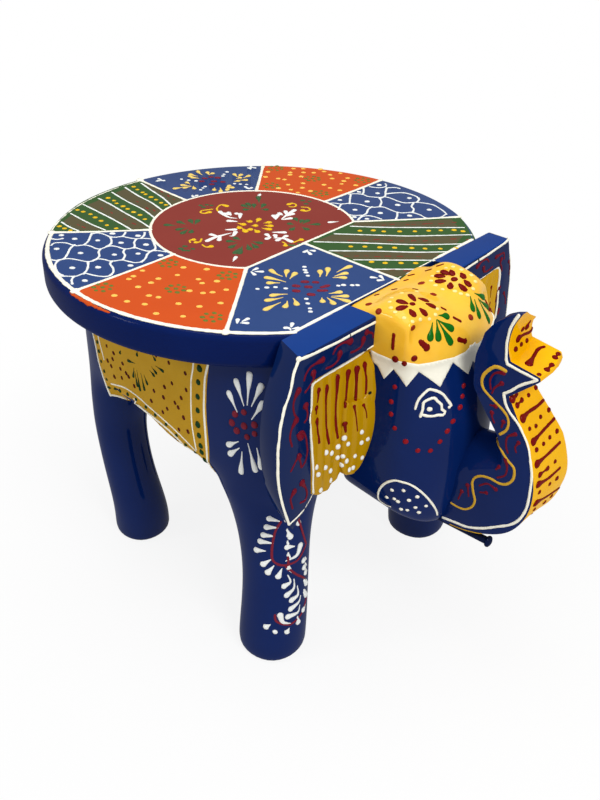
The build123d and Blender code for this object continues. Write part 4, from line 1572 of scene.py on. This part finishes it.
def make_ear_paint(side):
    name = "left" if side == FAR else "right"
    finishes = [cream, white, scroll_red, dark_red, nail_pit_shade_black]
    node = f"ear_{name}"

    def face(level):
        """Lays paint on the ear's face; the near ear's drawing stands at this level."""
        if side == NEAR:
            sight = sighted(node, 0, level)
            return lambda u, v: sight(-u, v)
        press = pressed(node, lambda u, v: (EAR_FRONT + 40, u, v), (-1, 0, 0), 40)
        return lambda u, v: press(*as_far_ear(u, v))

    paint = ConePaint(face(EAR_FRONT), finishes)
    paint.line(cream, EAR_OUTER_LINE, 1.4, 2.0)
    paint.line(cream, EAR_TOP_LINE, 1.6, 2.0)
    paint.line(cream, EAR_TIP_LINE, 1.1, 2.0)
    paint.line(cream, EAR_INNER_LINE, 1.4, 2.0)
    paint.dot(cream, EAR_OUTER_LINE[0], 2.4)
    for scroll in EAR_SCROLLS:
        if side == NEAR:
            paint.comma(scroll_red, scroll, 4.0, 0.32)
        elif scroll[0][1] > BAND_TOP:
            paint.comma(scroll_red, scroll, 3.0)
        elif scroll[0][0] > 90:
            paint.comma(scroll_red, [(u + 5, v) for u, v in scroll[:3]], 2.4)
    # Black dots in the nail pits: painted shade of the hollows.
    for pit in NAIL_PITS:
        paint.dot(nail_pit_shade_black, pit, 2.0)
    paint.lay = face(EAR_FRONT - 2)
    for stroke in LOBE_STROKES:
        paint.comma(dark_red, stroke, 1.8 if side == FAR else 3.8)
    paint.dots(white, LOBE_DOTS, 2.9, 1.25, 60)
    paint.lay = face(EAR_FRONT + 3)
    for stroke in INNER_LOBE_STROKES:
        paint.comma(dark_red, stroke, 1.9)
    paint.dots(white, INNER_LOBE_DOTS, 2.9, 1.25, 60)
    paint.dry(f"cone_paint_on_{node}")


# ---------------------------------------------------------------- paint on the head

# The cap's ornament is drawn on a level sheet over it, (forward, out to the left).
NEAR_PETALS = [
    ((113.5, -9), (118.5, -12.5)), ((113, -18.5), (117.5, -18)), ((118, -25.5), (119.5, -21)),
    ((127.5, -26), (123.5, -23)), ((131, -21), (126.5, -18.5)), ((129.5, -11.5), (125.5, -11.5)),
    ((123, -8.5), (119, -9))
]
NEAR_CENTRE = (120, -16.5)
FAR_PETALS = [
    ((114.5, 28.5), (111.5, 31.5)), ((121, 29.5), (118, 32)), ((128.5, 23), (124.5, 25.5)),
    ((130, 16.5), (125, 19.5)), ((123, 13.5), (120.5, 17.5)), ((114, 15), (116.5, 18)),
    ((109.5, 21), (113, 22.5)), ((109, 27.5), (113.5, 27))
]
FAR_CENTRE = (119, 23.5)
RING_DOTS = [
    (108.5, -10), (108, -18), (110, -22.5), (114.5, -27.5), (119, -30), (126, -32),
    (131.5, -32.5), (133, -28), (136, -24.5), (135.5, -18.5), (132.5, -12.5), (113, -3),
    (107, 25.5), (107.5, 32.5), (109.5, 36.5), (115, 36.5), (108, 18.5), (111, 13), (116, 10),
    (121.5, 8.5), (127.5, 11), (131.5, 10.5), (135, 11.5), (133, 20), (129, 28.5), (123, 34)
]
CAP_SPOTS = [(104, -32), (112.5, -35), (109, 7), (121.5, 0), (135.5, -38), (150, -9)]
CAP_DASHES = [
    ((100, -21.5), (100.5, -19.5)), ((102.5, -10), (103.5, -8)), ((110, -1.5), (112, -1)),
    ((100.5, 3.5), (101, 5.5)), ((98.5, 10.5), (99.5, 13.5)), ((101.5, 22), (102.5, 25.5)),
    ((102.5, 31.5), (103.5, 35.5)), ((133.5, -10), (136, -10.5)), ((144, -15), (148.5, -16))
]
CAP_SPRAYS = [
    ((147.5, -40.5), (139.5, -27)), ((150.5, -38), (139.5, -23.5)),
    ((157, -37.5), (140.5, -23.5)), ((149.5, -25.5), (139, -22.5)), ((140.5, -16), (137, -18)),
    ((145.5, 0), (137, 11)), ((152, -4.5), (140.5, 9.5)), ((158.5, -6), (141.5, 11.5)),
    ((150.5, 6), (141.5, 11.5)), ((142.5, 15), (136.5, 16))
]
CAP_SIDE_SPOTS = [(153, -69), (153.5, -62), (147.5, -68.5)]

# The cheek's is drawn on a sheet beside it, (forward, up).
CAP_FRILL = [
    (110, 199.5), (114, 199), (119, 199), (125, 199), (131, 200.5), (139.5, 202.5), (146, 206),
    (152.5, 210), (159, 214), (164.5, 219), (169, 226), (170, 221), (167.5, 208), (163, 209.5),
    (158.5, 211), (153, 195), (146, 197), (140, 198.5), (133.5, 187), (129, 191), (125, 194),
    (119.5, 186), (115, 192), (110, 194)
]
CHEEK_SPOTS = [
    (126.5, 184), (125, 174.5), (125.5, 167), (128.5, 159.5), (136, 154.5), (144, 152.5),
    (151.5, 156), (156.5, 164), (160, 172), (162.5, 179), (165.5, 188.5), (166, 195), (166, 201)
]
BROW = [
    (140, 176.5), (141, 181.5), (143, 185.5), (146.5, 190.5), (148.5, 191.5), (152, 192),
    (155.5, 191.5), (158, 189.5), (160.5, 187.5), (159.5, 186)
]
EYE_RIM = [
    (143.5, 173.5), (144.5, 178.5), (144.5, 182), (147, 185), (150.5, 187.5), (152.5, 186.5),
    (155, 185.5), (155.5, 183), (157.5, 182.5), (156.5, 180), (154, 179), (151, 177),
    (147.5, 175.5), (144.5, 175)
]
PUPIL = (148.5, 180)
CHIN_LINE = [
    (130, 108), (127, 107.5), (122, 108.5), (121, 111.5), (122, 116.5), (125.5, 122),
    (131, 126.5), (136, 128), (141, 129), (146.5, 128.5), (152, 126.5), (156, 124), (159, 121),
    (160, 118.5)
]
CHIN_DOTS = [
    (130, 119.5), (137.5, 123), (127, 113), (132, 114.5), (134.5, 114), (146.5, 123.5),
    (141.5, 118.5), (152.5, 120.5), (146, 116), (137, 110), (141, 111.5), (148.5, 114)
]


def opposite(near, node):
    """Lays on the far side of a piece what lies on its near side, pressed to the surface."""
    def lay(u, v):
        place, normal = near(u, v)
        place = Vector((place.x, -place.y, place.z))
        normal = Vector((normal.x, -normal.y, normal.z))
        hit, facing, _, _ = skins[node].ray_cast(place + normal * 12, -normal)
        if hit is None:
            hit, facing, _, _ = skins[node].find_nearest(place)
        return hit, (-facing if facing.dot(normal) < 0 else facing)
    return lay


def make_head_paint():
    finishes = [cream, white, cheek_red, dark_red, leaf_green, ring_cream, cap_brown]
    top = ConePaint(sighted("head_block", 2, 222, 90), finishes, 0.32)
    for head, tail in NEAR_PETALS + FAR_PETALS:
        top.petal(dark_red, head, tail, 3.7)
    for centre in (NEAR_CENTRE, FAR_CENTRE):
        top.dot(dark_red, centre, 3.0, 1.4, 60)
    top.dots(ring_cream, RING_DOTS, 2.0, 1.3, 40)
    top.dots(cap_brown, CAP_SPOTS, 3.5, 1.2, 60)
    for start, end in CAP_DASHES:
        top.line(dark_red, [start, end], 1.5, 1.0)
    for head, tail in CAP_SPRAYS:
        top.drop(leaf_green, head, tail, 3.9)
    top.line(dark_red, [(158.5, -32.5), (160, -32.5), (161.5, -32)], 2.4, 1.0, ends=(1.3, 1.3))
    top.dry("cone_paint_on_cap")

    over, beside = sighted("head_block", 2, 222, 90), sighted("head_block", 1, -36)
    side = ConePaint(over, finishes)
    for above, cheek in ((over, beside),
                         (opposite(over, "head_block"), opposite(beside, "head_block"))):
        side.lay = above
        side.dots(dark_red, CAP_SIDE_SPOTS, 3.4, 1.3, 100)
        side.line(dark_red, [(146.5, -47), (151.5, -49.5)], 3.2, 1.2, ends=(0.8, 1.3))
        side.line(dark_red, [(133, -50), (137, -56), (140.5, -61)], 2.0, 1.2)
        side.lay = cheek
        side.patch(cream, CAP_FRILL, 0.45, 1.5)
        side.dots(cheek_red, CHEEK_SPOTS, 2.8, 1.25, 60)
        side.line(cream, BROW, 1.5, 1.4, ends=(0.8, 1.2))
        side.line(cream, EYE_RIM, 1.5, 1.4)
        side.dot(cream, PUPIL, 2.4, 1.6, 20)
        side.line(cream, CHIN_LINE, 1.4, 1.6, ends=(0.7, 0.8))
        side.dots(cream, CHIN_DOTS, 2.1, 1.25, 0)
    side.dry("cone_paint_on_cheeks")


# ---------------------------------------------------------------- paint on the trunk

# Drawn on a sheet along the trunk's near side, (forward, up); what lies on its front is
# sighted past the near edge.
TRUNK_LINES = [
    [(178, 234.6), (176.8, 232.2), (175.6, 229.2), (174.6, 226), (174.2, 221.5), (174, 218),
    (174.5, 213.5), (175, 209.5), (176, 207.5)], [(176, 207.5), (179.5, 207), (183.5, 206.3),
    (187, 206), (190.5, 205.5), (192.5, 205.2)], [(192, 204.8), (190.5, 203.5), (187, 201),
    (183.5, 198), (180, 194), (176.5, 191)], [(176.5, 190.5), (178, 186), (181, 182),
    (186.5, 177.5), (190.5, 172.5), (194, 167), (196.5, 159), (198.5, 151), (199, 142.5),
    (199, 133.5), (198, 127.5), (195.5, 121), (191, 115.5), (183.5, 110), (175.5, 104.5),
    (166.5, 100.5), (159, 99.5), (151, 98.5)]
]
SERPENTINE = [
    (175.5, 203.5), (172.5, 204), (169.5, 203.5), (166.5, 200.5), (164, 196.5), (163.5, 192.5),
    (165, 189), (168.5, 186.5), (173, 184), (177.5, 181.5), (180.5, 178.5), (181.5, 174.5),
    (180.5, 170.5), (177.5, 167), (176.5, 164.5), (178, 160.5), (181.5, 156.5), (185, 153.5),
    (188, 151.5), (189, 148), (188.5, 143.5), (185.5, 139.5), (181.5, 138), (176, 138.5),
    (171, 137.5), (167.5, 135), (166, 131), (167.5, 124.5), (169, 120.5), (168, 115.5),
    (164, 111.5), (159.5, 110.5), (155, 111)
]
UNDER_EDGE = [(176, 100.4), (171, 98.3), (163, 96.6), (156, 96.3)]
TRUNK_SCROLLS = [
    [(174.5, 202), (170, 200), (168, 195.5), (169, 190.5)], [(174.5, 196), (171, 192),
    (170, 188.5)], [(173, 182), (170, 181.5)], [(171.5, 177.5), (172, 175), (173.5, 172.5)],
    [(178.5, 175), (178, 171.5)], [(186, 171), (182, 167.5), (182, 162), (183.5, 158.5)],
    [(188.5, 167), (187, 163.5), (188, 161)], [(183, 154), (184.5, 149.5), (184, 144.5),
    (180, 141)], [(180, 148), (178.5, 145.5)], [(180, 133.5), (175, 134.5), (170.5, 131)],
    [(175, 128.5), (171.5, 127)], [(160.5, 122), (159, 116)], [(163.5, 127.5), (165, 121)]
]
FRONT_STROKES = [
    [(183, 231), (183.5, 232.5), (184, 233.5)], [(179.5, 223), (182, 226), (184.5, 228),
    (186, 230.5)], [(187, 212), (188.5, 216), (190, 220.5), (191.5, 222.5), (193, 223.5)],
    [(181.5, 190), (182.5, 191.5), (183.5, 193.5)], [(188.5, 181.5), (191, 186.5), (194.5, 191),
    (197.5, 196)], [(196, 171), (200, 179.5), (204.5, 188.5)], [(200, 159.5), (204.5, 167.5),
    (209.5, 177)], [(202.5, 148), (207, 154), (212, 163)], [(203, 136.5), (208.5, 144),
    (213.5, 151.5)], [(200.5, 124.5), (203, 128)]
]
FRONT_BOWS = [
    [(199.5, 220.5), (200.5, 222.5)], [(196.5, 212.5), (198.5, 216)], [(184.5, 187.5),
    (186.5, 191.5)], [(202.5, 154), (206, 160)]
]
FRONT_DOTS = [
    (181, 228.5), (184, 223.5), (181.5, 220.5), (179, 217), (193, 208.5), (192.5, 201),
    (189.5, 195.5), (201, 192), (197.5, 186.5), (196, 180.5), (193, 177.5), (198.5, 167.5),
    (201.5, 172.5), (204, 177.5), (207, 182.5), (209, 165.5), (204, 144), (208.5, 151.5),
    (211.5, 156.5), (203, 132.5), (207.5, 139.5), (210.5, 145)
]


def make_trunk_paint():
    sheet = sighted("trunk", 1, -TRUNK_HALF)
    side = ConePaint(sheet, [cream, line_yellow, scroll_red])
    for lay in (sheet, pressed("trunk", lambda u, v: (u, 60, v), (0, -1, 0), 44)):
        side.lay = lay
        for line in TRUNK_LINES:
            if lay is not sheet:
                line = [(u - 2, v) for u, v in line if v < 222]
            side.line(cream, line, 1.5, 2.0, ends=(1.1, 1.1))
        side.line(line_yellow, UNDER_EDGE, 0.9, 2.0)
        side.line(line_yellow, SERPENTINE, 1.5, 1.8, ends=(1.5, 0.8))
        for scroll in TRUNK_SCROLLS:
            side.comma(scroll_red, scroll, 2.6)
    side.dry("cone_paint_on_trunk_sides")

    front = ConePaint(sighted("trunk", 1, -TRUNK_HALF, follow=True), [dark_red])
    for stroke in FRONT_STROKES:
        front.comma(dark_red, stroke, 4.6)
    for start, end in FRONT_BOWS:
        front.bow(dark_red, start, end, 3.4)
    front.dots(dark_red, FRONT_DOTS, 2.6, 1.3, 50)
    front.dry("cone_paint_on_trunk_front")


# ---------------------------------------------------------------- paint on the body

# Drawn on a sheet beside the body, (forward, up).
CLOTH_LEFT = [
    (-53, 184), (-52, 171), (-51.5, 169), (-50.5, 162.5), (-49.5, 154), (-47, 145), (-44, 137.5),
    (-41.5, 133)
]
CLOTH_BOTTOM = [
    (-41.5, 133.5), (-34.5, 135.5), (-25.5, 137), (-16.5, 137), (-8.5, 135.5), (0, 134),
    (12, 131), (23.5, 126.5), (35, 121.5), (43, 118)
]
CLOTH_RIGHT = [
    (43, 115), (43.5, 136), (42.5, 151.5), (42.5, 160.5), (43.5, 172), (44.5, 179.5),
    (46.5, 189.5), (48, 200)
]
CLOTH_INNER_LEFT = [(-47.5, 176), (-47, 170), (-46, 165.5), (-45, 161.5), (-44, 157)]
CLOTH_INNER_BOTTOM = [
    (-39.5, 142), (-33, 143.5), (-27, 144.5), (-19, 144), (-12.5, 142.5), (-8, 141), (4.5, 137.5),
    (16, 134), (24, 131), (32.5, 127.5)
]
CLOTH_INNER_RIGHT = [
    (35.5, 192), (34.5, 185.5), (33.5, 180), (32, 174), (31, 162.5), (30.5, 150), (31, 140.5),
    (33, 128.5)
]
CLOTH_RIGHT_LINE = [
    (47, 194), (46, 189.5), (45, 186.5), (43, 179.5), (42, 172), (41, 160.5), (41, 151.5),
    (41.5, 136), (42, 120)
]
BORDER_DOTS = [
    (-49, 173), (-48.5, 167), (-48, 161), (-47, 154.5), (-45, 148.5), (-43.5, 143.5),
    (-42, 138.5), (-36, 140), (-31.5, 140.5), (-24.5, 141), (-17, 140.5), (-8.5, 139),
    (-0.5, 137), (8.5, 134.5), (17, 131), (24.5, 128), (31, 124.5)
]
RIGHT_BORDER_DOTS = [
    (40, 189), (39, 183.5), (37.5, 174.5), (36.5, 165), (36, 156), (35.5, 146.5), (36, 139.5),
    (37, 133), (37.5, 129), (39, 123.5)
]
CLOTH_DOTS = [
    (-40, 167.5), (-34, 165), (-35.5, 160.5), (-26.5, 161), (-29, 156.5), (-24, 155.5),
    (-35.5, 148.5), (-28.5, 150.5), (-22, 154), (-37.5, 155), (-40.5, 157.5), (27.5, 176),
    (16, 165), (9.5, 160), (27.5, 165.5), (0, 153.5), (8, 152.5), (23, 158.5), (-3, 145.5),
    (17.5, 153), (20, 151), (10.5, 146), (6.5, 142), (24, 146), (19.5, 136), (27, 138),
    (-17.5, 149.5), (14.5, 177.5), (24, 184), (4, 178)
]
TASSEL = [
    ((-17.5, 156), (-16.5, 162)), ((-12.5, 149), (-14, 161.5)), ((-8.5, 151), (-10.5, 161)),
    ((-5.5, 156), (-8, 161)), ((-14.5, 151), (-16, 160)), ((1, 164), (-2.5, 166)),
    ((3, 166.5), (-0.5, 169)), ((9, 170), (3, 171)), ((-21, 165), (-15, 165.5)),
    ((-28, 167.5), (-27, 169.5)), ((-12.5, 172), (-12, 175)), ((3, 175), (1, 177))
]
SHOULDER_PETALS = [
    ((60.5, 177), (66, 168)), ((66, 186.5), (71, 174)), ((75.5, 194.5), (73.5, 175.5)),
    ((83.5, 191), (76.5, 176)), ((84.5, 181), (76.5, 168)), ((59, 144), (66.5, 149.5)),
    ((60, 138.5), (67, 145.5)), ((68, 130.5), (69, 144)), ((78.5, 137), (73.5, 151.5)),
    ((83, 141), (80, 151.5))
]
SHOULDER_HEART = [
    (71, 170), (64.5, 166), (62, 159.5), (71, 161.5), (65.5, 156), (73, 155.5), (78.5, 165.5),
    (78.5, 160)
]
VINE = [
    [(97, 111.5), (93.5, 104), (91.5, 96), (90.5, 87), (91, 81.5), (95, 80.5), (101, 83.5),
    (108.5, 91), (112.5, 99), (115, 107), (116.5, 113)], [(101, 82.5), (108.5, 81.5), (115, 82),
    (116.5, 75), (115, 63.5), (112, 53), (105, 41.5), (98, 37), (93.5, 36.5), (93, 40.5)]
]
VINE_LEAVES = [
    [(89, 109.5), (96, 111.5)], [(87, 102.5), (95, 106.5)], [(84.5, 95.5), (92.5, 99)],
    [(82, 89.5), (91.5, 93.5)], [(79, 81.5), (85.5, 84.5)], [(84, 74), (89.5, 80.5)], [(87.5, 70),
    (92, 77.5)], [(95.5, 72), (98, 79)], [(100, 67.5), (104.5, 73.5), (102.5, 77)], [(102, 62),
    (107, 70.5), (107, 77)], [(105.5, 60.5), (110, 67.5), (109.5, 73.5)], [(105, 53.5),
    (110.5, 62), (112, 68)], [(103, 46), (110, 54), (111.5, 60.5)], [(97, 43), (99, 39),
    (105, 42)], [(109.5, 118), (107, 120)], [(104, 105.5), (101.5, 109)], [(102, 97),
    (107, 100.5)], [(111, 103.5), (108.5, 95), (101, 86.5)], [(113.5, 94.5), (116.5, 98)],
    [(114, 90), (116.5, 94.5)], [(115, 87), (116.5, 90)], [(115.5, 79.5), (117, 82)],
    [(115.5, 71), (117, 74)], [(114, 59), (115.5, 64)], [(86, 26.5), (89, 30)], [(102.5, 34),
    (104, 37.5)], [(110.5, 47), (110, 51)]
]
VINE_DOTS = [(93, 27), (116, 104.5)]


CLOTH_COAT = 0.25
# The ochre reaches a little past the white line, over the edge of the arch.
CLOTH_HEM = [
    (-42.5, 132.5), (-34.5, 134.8), (-25.5, 136.2), (-16.5, 135.5), (-8.5, 133), (0, 131),
    (12, 128), (23.5, 123.5), (35, 118.5), (43, 115)
]


def raised(lay, height):
    """Lays paint on top of a coat that is already there."""
    def lay_higher(u, v):
        place, normal = lay(u, v)
        return Vector(place) + Vector(normal) * height, normal
    return lay_higher


def make_body_paint():
    sheet = sighted("body_side_right", 1, -90, 45)
    cloth = ConePaint(sheet, [ochre, cream, cloth_green, cloth_red])
    cloth.patch(ochre, CLOTH_LEFT[:-1] + CLOTH_HEM + CLOTH_RIGHT[1:], CLOTH_COAT, 2.0)
    cloth.lay = raised(sheet, CLOTH_COAT)
    for line in (CLOTH_LEFT, CLOTH_BOTTOM, CLOTH_RIGHT_LINE):
        cloth.line(cream, line, 1.5, 2.0)
    for line in (CLOTH_INNER_LEFT, CLOTH_INNER_BOTTOM, CLOTH_INNER_RIGHT):
        cloth.line(cream, line, 1.1, 2.0)
    cloth.dots(cloth_green, BORDER_DOTS, 2.4, 1.3, 40)
    cloth.dots(cloth_green, RIGHT_BORDER_DOTS, 3.6, 1.2, 80)
    cloth.dots(cloth_red, CLOTH_DOTS, 2.1, 1.6, -60)
    for head, tail in TASSEL:
        cloth.drop(cloth_green, head, tail, 2.1)
    cloth.repeat_on_far_side()
    cloth.dry("painted_saddle_cloth")

    bloom = ConePaint(sheet, [white, berry_red])
    for head, tail in SHOULDER_PETALS:
        bloom.drop(white, head, tail, 3.7)
    bloom.dots(berry_red, SHOULDER_HEART, 3.7, 1.2, 60)
    for stem in VINE:
        bloom.line(berry_red, stem, 1.5, 1.6)
    for points in VINE_LEAVES:
        bloom.long_leaf(white, points, 4.0)
    bloom.dots(white, VINE_DOTS, 3.2, 1.2)
    bloom.repeat_on_far_side()
    bloom.dry("cone_paint_on_shoulders")


def finish_inner_nodes():
    """Gives the joinery that shows little or not at all its own finishes."""
    inner = {"ear_nails": dull_steel, "seat_nails": dull_steel, "body_dowels": raw_dowel,
             "head_dowels": raw_dowel, "trunk_dowels": raw_dowel, "seat_putty": filler}
    for node, finish in inner.items():
        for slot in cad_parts[node].material_slots:
            slot.material = finish


# ---------------------------------------------------------------- stage

def make_stage():
    """Plain white floor that keeps the stool's shadow, soft studio lamps and the camera."""
    bm = bmesh.new()
    bmesh.ops.create_grid(bm, x_segments=1, y_segments=1, size=8.0)
    mesh = bpy.data.meshes.new("studio_floor")
    bm.to_mesh(mesh)
    bm.free()
    floor = bpy.data.objects.new("studio_floor", mesh)
    bpy.context.scene.collection.objects.link(floor)
    finish, tree, shader = new_finish("studio_floor")
    shader.inputs["Base Color"].default_value = (0.9, 0.9, 0.9, 1)
    shader.inputs["Roughness"].default_value = 1.0
    shader.inputs["Specular IOR Level"].default_value = 0.0
    place = add_node(tree, "ShaderNodeTexCoord").outputs["Object"]
    distance = add_node(tree, "ShaderNodeVectorMath", {0: place}, operation="LENGTH")
    fade = add_node(tree, "ShaderNodeMapRange", {
        "Value": distance.outputs["Value"], "From Min": 0.1, "From Max": 0.42,
        "To Min": 0.87, "To Max": 1.0}, interpolation_type="SMOOTHSTEP")
    glow = add_node(tree, "ShaderNodeMath", {
        0: fade.outputs[0], 1: seen_ray(tree)}, operation="MULTIPLY")
    plain_white = add_node(tree, "ShaderNodeEmission", {"Color": (1, 1, 1, 1), "Strength": 1.0})
    mix = add_node(tree, "ShaderNodeMixShader", {
        0: glow.outputs[0], 1: shader.outputs[0], 2: plain_white.outputs[0]})
    tree.links.new(mix.outputs[0], tree.nodes["Material Output"].inputs["Surface"])
    mesh.materials.append(finish)

    world = bpy.data.worlds.new("studio")
    bpy.context.scene.world = world
    world.use_nodes = True
    tree = world.node_tree
    strength = add_node(tree, "ShaderNodeMapRange", {
        "Value": seen_ray(tree), "To Min": 0.32, "To Max": 1.0})
    background = tree.nodes["Background"]
    background.inputs["Color"].default_value = (1, 1, 1, 1)
    tree.links.new(strength.outputs[0], background.inputs["Strength"])

    add_lamp("overhead_softbox", (-0.1, -0.15, 1.25), (0, 0, 0.15), 0.7, 5.2)
    add_lamp("left_softbox", (-0.7, -1.2, 0.9), (0, 0, 0.12), 0.32, 3)
    add_lamp("front_softbox", (1.0, -0.35, 1.25), (0, 0, 0.12), 0.5, 12.5)
    add_camera()


def seen_ray(tree):
    """One for rays that show the backdrop itself: to the camera, mirrored or through glass."""
    path = add_node(tree, "ShaderNodeLightPath")
    seen = add_node(tree, "ShaderNodeMath", {
        0: path.outputs["Is Camera Ray"], 1: path.outputs["Is Glossy Ray"]}, operation="MAXIMUM")
    seen = add_node(tree, "ShaderNodeMath", {
        0: seen.outputs[0], 1: path.outputs["Is Transmission Ray"]}, operation="MAXIMUM")
    return seen.outputs[0]


def add_lamp(name, place, target, size, watts):
    data = bpy.data.lights.new(name, "AREA")
    data.size = size
    data.energy = watts
    lamp = bpy.data.objects.new(name, data)
    lamp.location = place
    lamp.rotation_euler = (Vector(target) - Vector(place)).to_track_quat("-Z", "Y").to_euler()
    bpy.context.scene.collection.objects.link(lamp)


def add_camera():
    """The camera looks at the seat from the front right, from above."""
    data = bpy.data.cameras.new("camera")
    data.sensor_fit = "VERTICAL"
    data.sensor_height = 36
    data.lens = CAMERA_LENS
    data.clip_start = 0.01
    camera = bpy.data.objects.new("camera", data)
    place, right, up, back = camera_axes()
    turned = Matrix((right, up, back)).transposed().to_4x4()
    camera.matrix_world = Matrix.Translation(TO_FRAME @ place) @ turned
    bpy.context.scene.collection.objects.link(camera)
    bpy.context.scene.camera = camera


# ---------------------------------------------------------------- the whole stool

bpy.context.scene.view_settings.view_transform = "Standard"
make_stage()
make_seat()
make_seat_paint()
make_body()
make_head()
make_ear(NEAR)
make_ear(FAR)
make_trunk()
make_nail()
make_ear_paint(NEAR)
make_ear_paint(FAR)
make_head_paint()
make_trunk_paint()
make_body_paint()
finish_inner_nodes()
